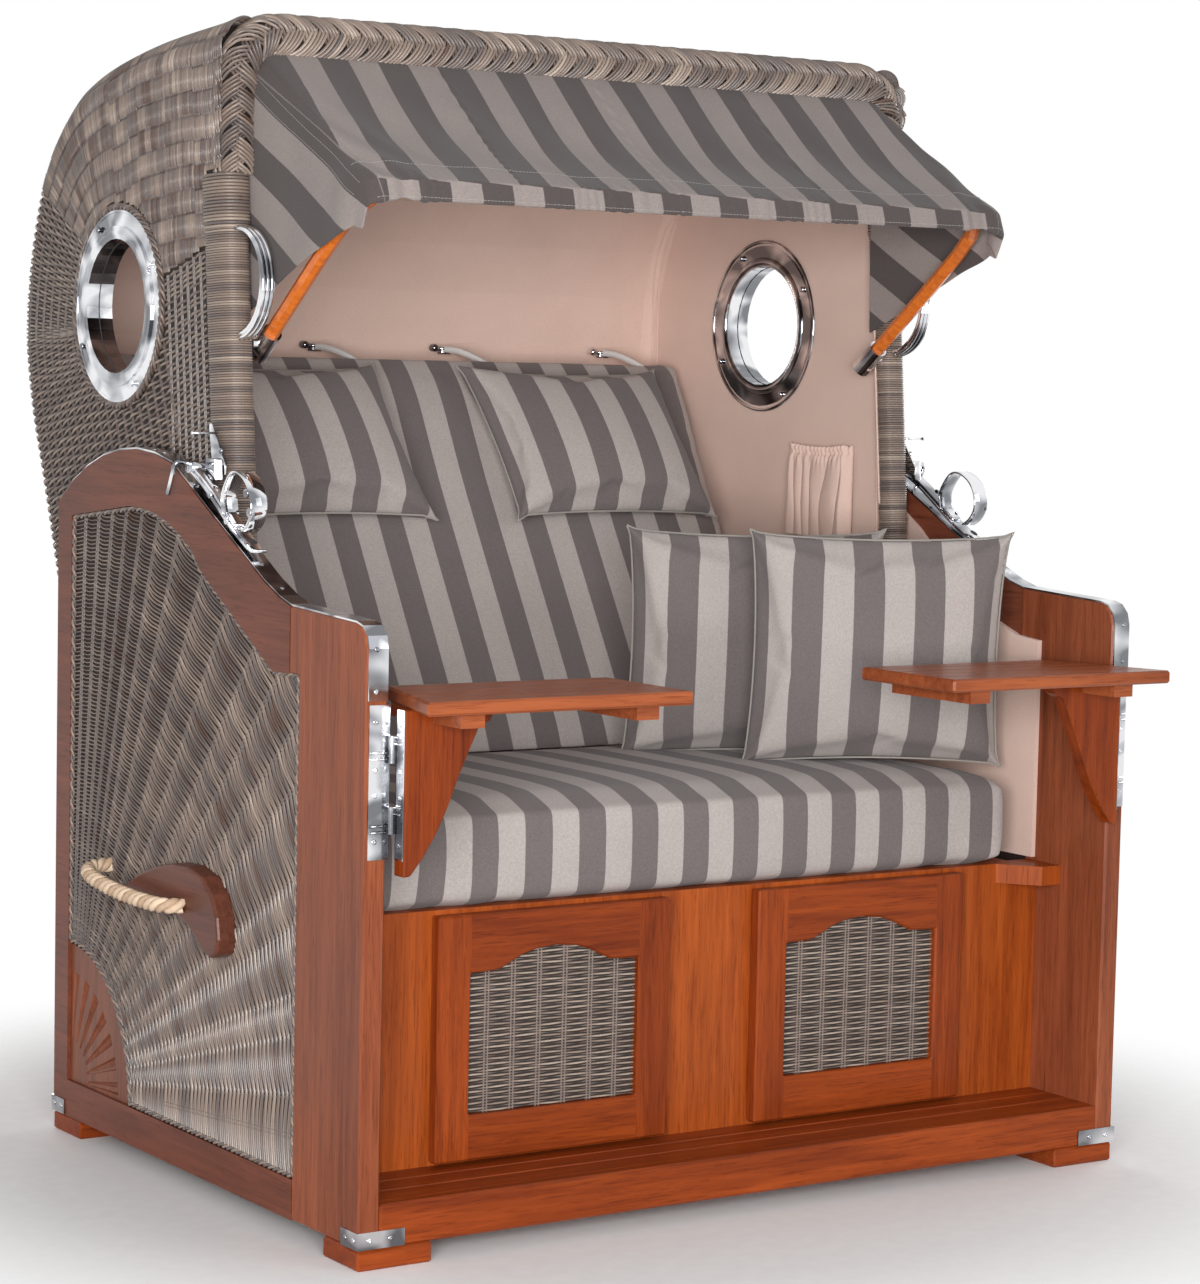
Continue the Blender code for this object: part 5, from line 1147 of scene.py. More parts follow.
def cushions():
    """Seat, back, neck and throw cushions."""
    seat = boxed_cushion("seat_cover", "seat_cushion")
    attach(seat, "base")
    back = boxed_cushion("back_cover", "back_cushion", leaned)
    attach(back, "hood")
    lean = Matrix.Rotation(-math.radians(31), 4, "X")
    lean = lean @ Matrix(((1, 0, -0.12, 0), (0, 1, 0, 0), (0, 0, 1, 0), (0, 0, 0, 1)))
    for side, _ in SIDES:
        shift = (-0.020, -0.034, -0.001)
        pillow(side + "_neck_cover", side + "_neck_pillow", (0.380, 0.278), 0.120, lean, "hood", shift)
    turned = Matrix.Rotation(math.radians(-27), 4, "Z") @ Matrix.Rotation(-math.radians(-6), 4, "X")
    for end, shift in (("front", (0, 0, 0)), ("rear", (0.018, 0, -0.003))):
        pillow(end + "_throw_cover", end + "_throw_pillow", (0.390, 0.350), 0.105, turned, "base", shift)


# ---------------------------------------------------------------- canopy

CANOPY_SIDE = {
    "rear": ((0.0460, 0.5030, 1.1880), (0.0460, 0.5060, 1.2750), (0.0450, 0.5080, 1.3600), (0.0430, 0.5060, 1.4300),
             (0.0430, 0.4980, 1.4900), (0.0560, 0.4900, 1.5260), (0.0800, 0.4880, 1.5380)),
    "middle": ((0.0460, 0.3300, 1.2620), (0.0460, 0.3310, 1.3120), (0.0460, 0.3320, 1.3600), (0.0470, 0.3330, 1.4000),
               (0.0490, 0.3340, 1.4280), (0.0600, 0.3350, 1.4400), (0.0850, 0.3350, 1.4420)),
    "front": ((0.0490, 0.2190, 1.3020), (0.0480, 0.2120, 1.3190), (0.0480, 0.2040, 1.3410), (0.0500, 0.1980, 1.3515),
              (0.0590, 0.1920, 1.3594), (0.0760, 0.1890, 1.3633), (0.1100, 0.1870, 1.3641)),
    "hem": ((0.0530, 0.2020, 1.2980), (0.0520, 0.1960, 1.3110), (0.0520, 0.1900, 1.3240), (0.0550, 0.1850, 1.3310),
            (0.0640, 0.1820, 1.3350), (0.0800, 0.1810, 1.3370), (0.1120, 0.1800, 1.3380)),
    "under": ((0.0560, 0.2060, 1.3110), (0.0560, 0.2020, 1.3200), (0.0560, 0.1985, 1.3280), (0.0590, 0.1960, 1.3350),
              (0.0680, 0.1950, 1.3395), (0.0840, 0.1950, 1.3405), (0.1150, 0.1950, 1.3410)),
    "back": ((0.0550, 0.2150, 1.3175), (0.0550, 0.2130, 1.3270), (0.0560, 0.2120, 1.3360), (0.0600, 0.2120, 1.3440),
             (0.0700, 0.2130, 1.3490), (0.0860, 0.2150, 1.3510), (0.1170, 0.2160, 1.3520)),
    "top": ((0.0520, 0.2240, 1.3190), (0.0520, 0.2220, 1.3300), (0.0525, 0.2200, 1.3440), (0.0545, 0.2190, 1.3580),
            (0.0630, 0.2180, 1.3670), (0.0790, 0.2180, 1.3715), (0.1120, 0.2180, 1.3740)),
}
CANOPY_MIDDLE = {
    "rear": ((0.4880, 1.5390),) * 3,
    "middle": ((0.3330, 1.4330), (0.3300, 1.4290), (0.3300, 1.4270)),
    "front": ((0.1870, 1.3641),) * 3,
    "hem": ((0.1800, 1.3380), (0.1800, 1.3370), (0.1800, 1.3370)),
    "under": ((0.1950, 1.3410),) * 3,
    "back": ((0.2160, 1.3520),) * 3,
    "top": ((0.2180, 1.3740),) * 3,
}
CANOPY_SHARES = (0.7273, 0.3636, 0.0)
CANOPY_STRIPE = 0.0473
SEAMS = (-0.2500, 0.0020, 0.2650)


def canopy_grid():
    """The sheet as rows from the hood to the hem and back up inside the sleeve, each from side to side."""
    lines = []
    for row in ("rear", "middle", "front", "hem", "under", "back", "top"):
        half = [(HOOD_X - inset, y + SHIFT_Y, z) for inset, y, z in CANOPY_SIDE[row]]
        last = half[-1][0]
        half += [(last * share, y + SHIFT_Y, z) for share, (y, z) in zip(CANOPY_SHARES, CANOPY_MIDDLE[row])]
        lines.append([(-x, y, z) for x, y, z in half] + half[-2::-1])
    lines = np.array(lines)
    fine = 2
    rows = curve_through(lines[:3], [20 * fine, 20 * fine])
    rest = curve_through(lines[2:], [6 * fine, 4 * fine, 4 * fine, 4 * fine])
    rows = np.concatenate([rows, rest[1:]])
    spans = [6 * fine] * 6 + [18 * fine] * 6 + [6 * fine] * 6
    return curve_through(rows.transpose(1, 0, 2), spans).transpose(1, 0, 2), 40 * fine, 6 * fine


def thickened(thing):
    """Gives a sheet the thickness of its cloth."""
    cloth = thing.modifiers.new("cloth", "SOLIDIFY")
    cloth.thickness = 0.0016
    cloth.offset = 0


def follow_bow(thing):
    """Bakes the piece's placement into its mesh."""
    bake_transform(thing)


def canopy():
    """One striped sheet from the plaited border over the bar, with side wings and a sleeve for the bar."""
    grid, front_row, hem_rows = canopy_grid()
    rows, columns = grid.shape[:2]
    across = np.gradient(grid, axis=1)
    down = np.gradient(grid, axis=0)
    normal = unit(np.cross(down, across))
    if normal[front_row // 2, columns // 2, 2] < 0:
        normal = -normal
    slope = np.clip(np.arange(rows) / front_row, 0, 1)[:, None]
    x = grid[:, :, 0]
    # the distance down each wing is measured from the fold line
    fold_a = np.array([0.4640 + SHIFT_Y, 1.4980])
    fold_b = np.array([0.1955 + SHIFT_Y, 1.3555])
    axis = (fold_b - fold_a) / np.linalg.norm(fold_b - fold_a)
    below = (grid[:, :, 1] - fold_a[0]) * axis[1] - (grid[:, :, 2] - fold_a[1]) * axis[0]
    if below[front_row // 2, 0] < 0:
        below = -below
    place = np.arange(columns)
    beyond_fold = np.minimum(place, columns - 1 - place) <= 4.5 * hem_rows
    wing = np.broadcast_to(beyond_fold, x.shape)
    top_stripe = (x + 0.110 + CANOPY_STRIPE * slope) * STRIPE / CANOPY_STRIPE
    hem_stripe = (x + 0.1235) * STRIPE / CANOPY_STRIPE
    is_hem = (np.arange(rows) > front_row)[:, None] & ~wing
    stripe = np.where(is_hem, hem_stripe, top_stripe)
    wing_stripe = (below - 0.024) * STRIPE / CANOPY_STRIPE
    stripe = np.where(wing, wing_stripe, stripe)
    free = np.sin(math.pi * slope) * np.ones_like(x)
    lift = free * 0.0030 * np.sin(x * 23.0 + slope * 3.1) * ~wing
    lift += free * 0.0016 * np.sin(x * 61.0 - slope * 5.0 + 1.0) * ~wing
    corner = np.exp(-((np.abs(x) - 0.50) / 0.060) ** 2) * np.clip(slope - 0.25, 0, 1)
    lift += corner * 0.0045 * np.sin(slope * 16 + np.abs(x) * 95)
    lift += wing * free * 0.0035 * np.sin(below * 30 + slope * 7)
    for place in SEAMS:
        off = x - place + CANOPY_STRIPE * slope
        ridge, groove = np.exp(-((off - 0.0026) / 0.0022) ** 2), np.exp(-((off + 0.0014) / 0.0018) ** 2)
        lift += (0.0016 * ridge - 0.0022 * groove) * ~wing
    hem_phase = (np.arange(rows) > front_row - hem_rows / 2)[:, None] & ~wing
    gathers = np.exp(-((np.abs(np.sin(x * 9.3)) - 1) / 0.35) ** 2)
    lift += hem_phase * 0.0011 * np.sin(x * 340 + 4 * np.sin(x * 31)) * gathers
    lift *= np.clip(np.arange(rows) / 3.0, 0, 1)[:, None]
    lifted = grid + normal * lift[:, :, None]
    index = np.arange(rows * columns).reshape(rows, columns)
    mesh = quad_mesh("canopy_cloth", lifted.reshape(-1, 3), grid_quads(index))
    paint(mesh, "stripe", stripe.ravel())
    thing = new_object("canopy_cloth", mesh, CANOPY)
    thickened(thing)
    subdivided(thing)
    follow_bow(thing)
    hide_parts("canopy")
    stitches = canopy_stitches(lifted, normal, front_row, hem_rows, below, x)


def dashes(path, normals):
    """Thread stitches along a path as short runs."""
    path = np.asarray(path, float)
    length = reaches(path)
    stitch, gap, lift = 0.0038, 0.0016, 0.0011
    runs = []
    for start in np.arange(0.002, length[-1] - stitch, stitch + gap):
        at = np.linspace(start, start + stitch, 4)
        place, out = at_reach(at, length, path), at_reach(at, length, normals)
        rise = lift + 0.0003 * np.sin(np.linspace(0, math.pi, 4))
        runs.append((place + out * rise[:, None], out, 0.00035, 0.0003, 0.9))
    return runs


def canopy_stitches(grid, normal, front_row, hem_rows, below, x):
    """Stitches along the hem's fold and the fold of each wing."""
    runs = []
    columns = grid.shape[1]
    spots = np.flatnonzero(np.abs(x[front_row]) < 0.524)
    for row in (front_row - hem_rows, front_row + hem_rows - 2):
        runs += dashes(grid[row, spots], normal[row, spots])
    for side in (slice(0, 5 * hem_rows), slice(columns - 5 * hem_rows, columns)):
        for depth in (0.004, 0.021):
            line, outs = [], []
            for row in range(2, front_row - 1):
                order = np.argsort(below[row, side])
                down = below[row, side][order]
                line.append([np.interp(depth, down, grid[row, side, c][order]) for c in range(3)])
                outs.append([np.interp(depth, down, normal[row, side, c][order]) for c in range(3)])
            runs += dashes(line, np.array(outs))
    thing = strand_object("canopy_stitches", runs, THREAD, closed=True)
    follow_bow(thing)
    return thing


# ---------------------------------------------------------------- wood and metal pieces

DOOR_MIDDLE_X = 0.257
SIDE_FRAME_JOINT_Y = 0.175 + SHIFT_Y


def mixed_wood(name, dark, light, mask, gloss=0.30):
    """Lacquered wood whose grain turns from lengthways to upright where the mask says."""
    s = Shader(name)
    switch, first, second = mask[0](s), grain_layers(s, mask[1]), grain_layers(s, mask[2])
    tone, pores = (s.mix(switch, first[layer], second[layer]) for layer in (1, 2))
    return lacquered(s, tone, pores, tone, dark, light, gloss)


def coordinate(s, axis):
    """One of the object's own coordinates."""
    split = s.node("ShaderNodeSeparateXYZ")
    s.link(s.coords((1, 1, 1)), split.inputs[0])
    return split.outputs["XYZ".index(axis)]


def past(axis, place):
    """A mask that is 1 where the coordinate is beyond the place."""
    def mask(s):
        return s.math("GREATER_THAN", coordinate(s, axis), place)
    return mask


def off_middle(middle, reach):
    """A mask that is 1 further than the reach from the middle, across the chair."""
    def mask(s):
        away = s.math("ABSOLUTE", s.math("SUBTRACT", coordinate(s, "X"), middle))
        return s.math("GREATER_THAN", away, reach)
    return mask


def dress():
    """Finishes of the pieces that keep their solid."""
    upright = wood("mahogany_upright", "z", WOOD_DARK, WOOD_LIGHT)
    level = wood("mahogany_level", "x", WOOD_DARK, WOOD_LIGHT)
    # the side frames take the mahogany with painted sheen in its colours
    frame_sheen = mixed_wood("frame_mahogany_painted_sheen", SIDE_SHEEN_DARK, SIDE_SHEEN_LIGHT, (past("Y", SIDE_FRAME_JOINT_Y), "z", "y"), 0.24)
    panel = wood("panel_mahogany", "z", PANEL_DARK, PANEL_LIGHT)
    stile = wood("stile_mahogany", "z", FRAME_DARK, FRAME_LIGHT, 0.24)
    carved = wood("carved_mahogany", "z", (0.130, 0.040, 0.020), (0.260, 0.082, 0.042), 0.24)
    block = wood("block_mahogany", "y", (0.085, 0.028, 0.017), (0.170, 0.058, 0.036), 0.24)
    table = wood("table_mahogany", "x", (0.215, 0.050, 0.018), (0.420, 0.112, 0.038), 0.24)
    lining = plain_cloth("lining_canvas", (0.76, 0.560, 0.480), (0.69, 0.500, 0.425))
    chrome = metal("polished_metal", (0.56, 0.57, 0.60), 0.05, 0.05, 0.75)
    steel = metal("brushed_steel", (0.42, 0.43, 0.45), 0.08, 0.10, 0.70)
    lacquer = orange_lacquer()
    doors = {}
    for side, sign in SIDES:
        mask = (off_middle(sign * DOOR_MIDDLE_X, 0.1325), "x", "z")
        doors[side] = mixed_wood(side + "_door", WOOD_DARK, WOOD_LIGHT, mask)
    by_end = {
        "side_frame": frame_sheen, "front_stile": stile, "fan_block": carved, "carry_handle": block, "side_lining": lining,
        "edge_strip": steel, "front_foot": level, "rear_foot": level, "front_bracket": steel, "rear_bracket": steel,
        "table_hinge": steel, "pivot_pin": chrome, "table_top": table, "table_gusset": upright, "lift_lever": chrome,
        "porthole": chrome, "hood_grip": chrome, "bow_ferrule": chrome, "footrest_inlay": BACKING,
    }
    whole = {
        "front_board": level, "floor_board": level, "front_panel": panel, "seat_carcase": level, "rear_panel": level,
        "hood_lining": lining, "lining_pocket": lining, "canopy_bow": lacquer, "hood_shell": BACKING,
    }
    for name, obj in NODES.items():
        end = name.partition("_")[2]
        finish = whole.get(name) or by_end.get(end) or (doors[name.split("_")[0]] if end == "footrest" else None)
        if finish is None:
            continue
        for place in range(len(obj.data.materials)):
            obj.data.materials[place] = finish
    return {"chrome": chrome, "steel": steel, "lining": lining}


def orange_lacquer():
    """Glossy orange lacquer over fine grain."""
    s = Shader("orange_lacquer")
    grain = s.noise(s.coords((3, 30, 30)), 4.0, 5, 0.6, 0.5)
    s.put(Base_Color=s.ramp(grain, ((0.3, (0.56, 0.112, 0.010)), (0.7, (0.80, 0.205, 0.022)))))
    s.put(Roughness=s.scaled(grain, 0.26, 0.40), Coat_Weight=0.5, Coat_Roughness=0.1)
    s.bump(grain, 0.05, 0.0005)
    return s.mat


def rope_fibre():
    """Pale laid fibre; each strand has its own tone."""
    s = Shader("rope_fibre")
    tone = s.attribute("tone")
    yarn = s.noise(s.coords((260, 260, 260)), 1.0, 4, 0.7)
    mixed = s.math("ADD", s.math("MULTIPLY", tone, 0.6), s.math("MULTIPLY", yarn, 0.4))
    s.put(Base_Color=s.ramp(mixed, ((0.25, (0.42, 0.265, 0.165)), (0.75, (0.82, 0.630, 0.455)))), Roughness=0.85)
    s.bump(yarn, 0.5, 0.0012)
    return s.mat


def thread():
    """Sewing thread."""
    s = Shader("thread")
    fuzz = s.noise(s.coords((900, 900, 900)), 1.0, 3)
    s.put(Base_Color=s.ramp(fuzz, ((0.3, (0.30, 0.285, 0.27)), (0.7, (0.50, 0.48, 0.455)))), Roughness=0.8)
    s.bump(fuzz, 0.2, 0.0003)
    return s.mat


def joined(name, meshes, finish, body):
    """One object of several meshes."""
    form = bmesh.new()
    for mesh in meshes:
        form.from_mesh(mesh)
    mesh = bpy.data.meshes.new(name)
    form.to_mesh(mesh)
    form.free()
    thing = new_object(name, mesh, finish)
    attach(thing, body)
    return thing


def turned_mesh(place, axis, outline, sides=20):
    """A turned form: outline is (radius, height) along the axis."""
    axis = np.asarray(axis, float) / np.linalg.norm(axis)
    across = np.cross(axis, (0, 0, 1) if abs(axis[2]) < 0.9 else (1, 0, 0))
    across /= np.linalg.norm(across)
    circle = around(sides)
    ring = circle[:, :1] * across + circle[:, 1:] * np.cross(axis, across)
    corners = np.concatenate([np.asarray(place, float) + ring * r + axis * h for r, h in outline])
    return quad_mesh("turned", corners, ring_quads(len(outline), sides))


def screw(place, axis, radius=0.0036, rise=0.0016):
    """Domed screw head with a recessed middle."""
    outline = [(radius, -0.0004), (radius, 0.0002)]
    for turn in np.radians((20, 40, 60, 75)):
        outline.append((radius * math.cos(turn), 0.0002 + rise * math.sin(turn)))
    outline += [(radius * 0.22, rise * 0.6), (0.00002, rise * 0.55)]
    return turned_mesh(place, axis, outline)


KNOB = (
    (0.0030, 0), (0.0030, 0.0026), (0.0046, 0.0030), (0.0050, 0.0052), (0.0040, 0.0068), (0.0018, 0.0076),
    (0.00002, 0.0078),
)
PORT_FACES = ((0.5845, 1), (0.5500, -1))


def hardware(kit):
    """Screws of the brackets, hinges, strips and portholes."""
    for side, sign in SIDES:
        heads = []
        for x in (0.6105, 0.5800):
            heads.append(screw((sign * x, -0.5230, 0.039), (0, -1, 0)))
            heads.append(screw((sign * x, 0.3870, 0.039), (0, 1, 0)))
        for y in (-0.5125, -0.4915, 0.3550, 0.3765):
            heads.append(screw((sign * 0.6275, y, 0.039), (sign, 0, 0)))
        joined(side + "_screws", heads, kit["steel"], "base")
        knobs = []
        for turn in np.radians((62, 152, 242, 332)):
            y, z = PORT[0] + 0.1225 * math.cos(turn), PORT[1] + 0.1225 * math.sin(turn)
            for face, out in PORT_FACES:
                knobs.append(turned_mesh((sign * face, y, z), (sign * out, 0, 0), KNOB))
        joined(side + "_port_knobs", knobs, kit["chrome"], "hood")
        rings = []
        for face, out in PORT_FACES:
            centre = (sign * face, PORT[0], PORT[1])
            for middle, half, rise in ((0.1035, 0.0062, 0.0050), (0.1345, 0.0028, 0.0024)):
                turned = [(middle + half * math.cos(t), rise * math.sin(t)) for t in np.linspace(0, math.pi, 9)]
                rings.append(turned_mesh(centre, (sign * out, 0, 0), turned, 96))
        joined(side + "_port_rings", rings, kit["chrome"], "hood")
        # painted shadow: thin dark tubes lie in the groove of each porthole ring
        for end, face in (("out", 0.5849), ("in", 0.5496)):
            groove = port_circle(sign * face, 0.1106, 97)
            tube(side + "_port_groove_" + end, groove, 0.0007, RUBBER_AND_SHADOW, "hood", 6)
        ribs = []
        middle = np.array([0.4920 - 0.0205 + SHIFT_Y, 1.2305])
        lean = np.array([0.0875, 0.9962])
        ahead = np.array([-lean[1], lean[0]])
        for shift in (-0.0066, 0.0, 0.0066):
            bow = np.linspace(0.02, math.pi - 0.02, 33)
            flat = middle + lean * (0.0738 * np.cos(bow))[:, None] + ahead * (0.0738 * np.sin(bow))[:, None]
            ribs.append(rod(side_path(sign, RIM_X + shift, flat), 0.0031, 8))
        joined(side + "_grip_ribs", ribs, kit["chrome"], "hood")
        tube(side + "_port_seal", port_circle(sign * 0.5690, 0.0949, 73), 0.0009, RUBBER_AND_SHADOW, "hood", 8)


def black_rubber_and_shadow():
    """Dull black rubber of seals and shadow gaps."""
    s = Shader("black_rubber_and_shadow")
    fine = s.noise(s.coords((500, 500, 500)), 1.0, 2)
    s.put(Base_Color=s.ramp(fine, ((0.3, (0.010, 0.010, 0.011)), (0.7, (0.030, 0.030, 0.032)))), Roughness=0.6)
    return s.mat


ROPE_SHARES = (0.0, 0.0, 0.012, 0.045, 0.13, 0.30, 0.50, 0.70, 0.87, 0.955, 0.988, 1.0, 1.0)
ROPE_LIFTS = (0.0, 0.25, 0.58, 0.82, 0.96, 1.0, 1.0, 0.98, 0.88, 0.66, 0.42, 0.18, 0.0)


def rope(side, sign):
    """Three strands laid round each other, from the handle block to the wicker."""
    points = []
    for along, lift in zip(ROPE_SHARES, ROPE_LIFTS):
        start = 0.6486 if along <= 0.30 else 0.6183
        points.append((
            sign * (start + (0.678 - start) * lift), 0.448 + 0.282 * along + SHIFT_Y,
            0.398 + 0.015 * along - 0.006 * math.sin(math.pi * along),
        ))
    path = smooth_line(points, 0.0025)
    runs = twist_runs(path, (0.0, 0.0, 1.0), 0.0056, 0.0056, 0.046, (0.35, 0.62, 0.85))
    thing = strands(side + "_rope", runs, ROPE, "base", closed=True)
    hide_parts(side + "_carry_rope")


def inlay(side, sign):
    """Plain weave in the door: level weavers over upright stake pairs."""
    centre = sign * DOOR_MIDDLE_X
    half, low, high, face = 0.1322, 0.1483, 0.3637, -0.3842
    stake_pitch, weft_pitch = 0.0407, 0.0038
    levels = np.arange(low + weft_pitch / 2, high, weft_pitch)
    x = np.linspace(centre - half, centre + half, 120)
    shades = grouped_tones(len(levels), 2)
    runs = []
    for row, (z, shade) in enumerate(zip(levels, shades)):
        wave = np.cos(math.pi * ((x - centre) / stake_pitch + row))
        y = face + 0.0008 - 0.0014 * wave
        path = np.column_stack([x, y, z + 0.0004 * np.sin(x * 60 + row)])
        # painted shade and highlight: each weaver is lighter where it stands forward and darker where it dives behind a
        # stake pair
        runs.append((path, (0, -1, 0), 0.0013, 0.0019, 0.64 + 0.5 * (shade - 0.6) + 0.27 * wave))
    for shift in np.arange(-3, 4) * stake_pitch:
        for pair in (-0.0026, 0.0026):
            off = shift + stake_pitch / 2 + pair
            z = np.linspace(low, high, 30)
            path = np.column_stack([np.full(30, centre + off), np.full(30, face + 0.0010), z])
            if abs(off) < half:
                runs.append((path, (0, -1, 0), 0.0015, 0.0019, 0.62))
    woven(side + "_inlay_weave", runs, side + "_footrest")


def seen_on(node, px, py, lift):
    """The place on a node's surface that the photograph shows at a pixel, raised a little off it."""
    origin, turn = camera_frame()
    ray = turn @ Vector(((px - PHOTO_SIZE[0] / 2) / PHOTO_FOCAL, (PHOTO_SIZE[1] / 2 - py) / PHOTO_FOCAL, -1.0))
    hit, place = NODES[node].ray_cast(origin, ray.normalized())[:2]
    return place - ray.normalized() * lift if hit else None


def lining_details(kit):
    """Piping on the posts' inner edges, stitched seams beside it and the double seams in the rear corners."""
    for side, sign in SIDES:
        z = np.linspace(0.93, 1.40, 60)
        y = np.interp(z, RIM_HALF[:, 1], RIM_HALF[:, 0])
        path = np.column_stack([np.full(60, sign * (RIM_X - 0.0200)), y + 0.0060, z])
        tube(side + "_lining_piping", path, 0.0021, kit["lining"], "hood", 8)
        seams = []
        corner = smooth_line([
            (689, 201), (672, 221), (661, 243), (655, 272), (653, 305), (652, 356), (652, 400), (655, 450),
        ], 6.0)
        edge = np.column_stack([np.full(24, 880.0), np.linspace(330, 545, 24)])
        for line, shifts in ((corner, (0.0, 5.0)), (edge, (-3.5, 0.0))):
            for shift in shifts:
                spots = [seen_on("hood_lining", px + shift, py, 0.0006) for px, py in line]
                spots = [(sign * spot.x, spot.y, spot.z) for spot in spots if spot]
                if len(spots) > 5:
                    seams.append(rod(smooth_line(spots, 0.006), 0.0014, 8))
        if seams:
            joined(side + "_lining_seams", seams, kit["lining"], "hood")


def pocket(kit):
    """The bare map pocket: a cloth gathered on elastic along its top, with folds that fall from it."""
    wall, front, rear, low, top = 0.5530, 0.0335, 0.1885, 0.8720, 1.0150
    u = np.linspace(0, 1, 161)[None, :]
    v = np.linspace(0, 1, 61)[:, None]
    held = np.clip(np.minimum(u, 1 - u) / 0.07, 0, 1) ** 0.6
    body = 0.0035 + (0.0105 + 0.0065 * np.sin(math.pi * v * 0.55)) * held
    wander = u * 5.6 + 0.22 * np.sin(3.1 * v + 6 * u) + 0.16 * np.sin(9 * u)
    fall = np.clip(v / 0.16, 0.15, 1) * (0.55 + 0.45 * (1 - v))
    folds = 0.0058 * (np.abs(np.sin(math.pi * wander)) ** 0.7 - 0.5) * fall
    pleats = 0.0026 * np.sin(2 * math.pi * 15.5 * u + 0.8 * np.sin(14 * u)) * np.exp(-(v / 0.16) ** 2)
    ruffle = 0.0022 * np.sin(2 * math.pi * 15.5 * u + 1.2) * np.exp(-(v / 0.05) ** 2)
    cinch = -0.0034 * np.exp(-((v - 0.075) / 0.030) ** 2)
    out = body + (folds + pleats + ruffle + cinch) * held
    x = wall - out
    y = front + (rear - front) * u + 0.0012 * np.sin(9 * v + 20 * u) * held
    frill = 0.0022 * np.sin(2 * math.pi * 15.5 * u + 2.0) - 0.0050 * np.sin(math.pi * u)
    z = top - (top - low) * v + frill * (1 - v) ** 6
    points = np.stack([x * np.ones_like(v), y * np.ones_like(v), z * np.ones_like(u)], -1).reshape(-1, 3)
    quads = grid_quads(np.arange(v.size * u.size).reshape(v.size, u.size))
    thing = new_object("pocket_cloth", quad_mesh("pocket_cloth", points, quads), kit["lining"])
    thickened(thing)
    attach(thing, "hood")
    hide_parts("lining_pocket")


def straps(kit):
    """Three short webbing loops with metal clips, from the lining to the neck cushions over the back cushion."""
    bands, clips = [], []
    corners = np.array([(-1, -1), (1, -1), (1, 1), (-1, 1)])
    wide, flat = corners * (0.0007, 0.0048), corners * (0.0014, 0.0030)
    stud = ((0.0060, -0.004), (0.0060, 0.006), (0.0040, 0.0090), (0.00002, 0.0095))
    for x, lean in ((-0.106, 0.034), (0.131, 0.034), (0.437, 0.028)):
        path = smooth_line([
            (x - 0.004, 0.588, 1.1500), (x, 0.574, 1.1520), (x + lean * 0.25, 0.548, 1.1500),
            (x + lean * 0.6, 0.516, 1.1400), (x + lean * 0.9, 0.488, 1.1260), (x + lean, 0.474, 1.1080),
        ], 0.003)
        bands.append(swept(path, wide))
        bands.append(swept([p + Vector((0.0065, 0.004, -0.0010)) for p in map(Vector, path[:-4])], wide))
        bar = np.array([(x - 0.0105, 0.5755, 1.1530), (x + 0.0105, 0.5715, 1.1525)])
        clips.append(rod(bar, 0.0034, 8))
        clips.append(swept(bar - np.array((0, 0.0005, 0.0055)), flat))
        clips.append(turned_mesh((x - 0.010, 0.590, 1.154), (0, -1, 0), stud))
    joined("neck_strap_bands", bands, WEBBING, "hood")
    joined("neck_strap_clips", clips, kit["chrome"], "hood")


# ---------------------------------------------------------------- levers and hinges

STRAP_LINE = yz([(0.316, 0.8795), (0.335, 0.8862), (0.375, 0.9065), (0.415, 0.9325), (0.455, 0.9575), (0.4990, 0.9800)])
LOOP_LINE = yz([
    (0.345, 0.9040), (0.331, 0.9120), (0.3205, 0.9250), (0.3180, 0.9400), (0.3230, 0.9560), (0.3350, 0.9700),
    (0.3520, 0.9790), (0.3680, 0.9815), (0.3800, 0.9770), (0.3900, 0.9670), (0.3985, 0.9550), (0.4020, 0.9440),
    (0.3990, 0.9300), (0.3960, 0.9240),
])
LEAF_OUTLINE = yz([
    (0.4870, 0.9760), (0.4890, 0.9870), (0.4990, 1.0360), (0.4985, 1.0405), (0.4950, 1.0425), (0.4910, 1.0410),
    (0.4600, 0.9990), (0.4500, 0.9860), (0.4520, 0.9740),
])


PIN_HEAD = ((0.0026, -0.001), (0.0028, 0.001), (0.0022, 0.0024), (0.00002, 0.0028))
LEAF_RIVET = ((0.0040, -0.001), (0.0040, 0.0006), (0.0030, 0.0019), (0.00002, 0.0024))


def side_path(sign, x, flat):
    """Points of the side plane at a distance from the middle."""
    return np.column_stack([np.full(len(flat), sign * x), flat])


def band_section(half_width, half_thick):
    """Rounded rectangle; its first axis lies across the chair on a path in the side plane."""
    w, t, c = half_width, half_thick, 0.0007
    return np.array([
        (-w + c, -t), (w - c, -t), (w, -t + c), (w, t - c), (w - c, t), (-w + c, t), (-w, t - c), (-w, -t + c),
    ])


def side_band(sign, flat, half_width, half_thick):
    """A flat band on the latch's line in the side plane, its width across the chair."""
    path = side_path(sign, 0.6095, flat)
    x_way = np.broadcast_to(np.array([1.0, 0, 0]), path.shape)
    return carried(path, x_way, np.cross(unit(np.gradient(path, axis=0)), x_way), band_section(half_width, half_thick))


def plate(corners, thickness_way, bevel=0.0006):
    """A flat plate from its outline, with softened edges."""
    form = bmesh.new()
    spots = [form.verts.new(tuple(c)) for c in corners]
    face = form.faces.new(spots)
    raised = bmesh.ops.extrude_face_region(form, geom=[face])
    moved = [v for v in raised["geom"] if isinstance(v, bmesh.types.BMVert)]
    bmesh.ops.translate(form, verts=moved, vec=Vector(thickness_way))
    bmesh.ops.recalc_face_normals(form, faces=form.faces)
    bmesh.ops.bevel(
        form, geom=list(form.edges), offset=bevel, segments=2, profile=0.5, affect="EDGES", clamp_overlap=True,
    )
    mesh = bpy.data.meshes.new("plate")
    form.to_mesh(mesh)
    form.free()
    return mesh


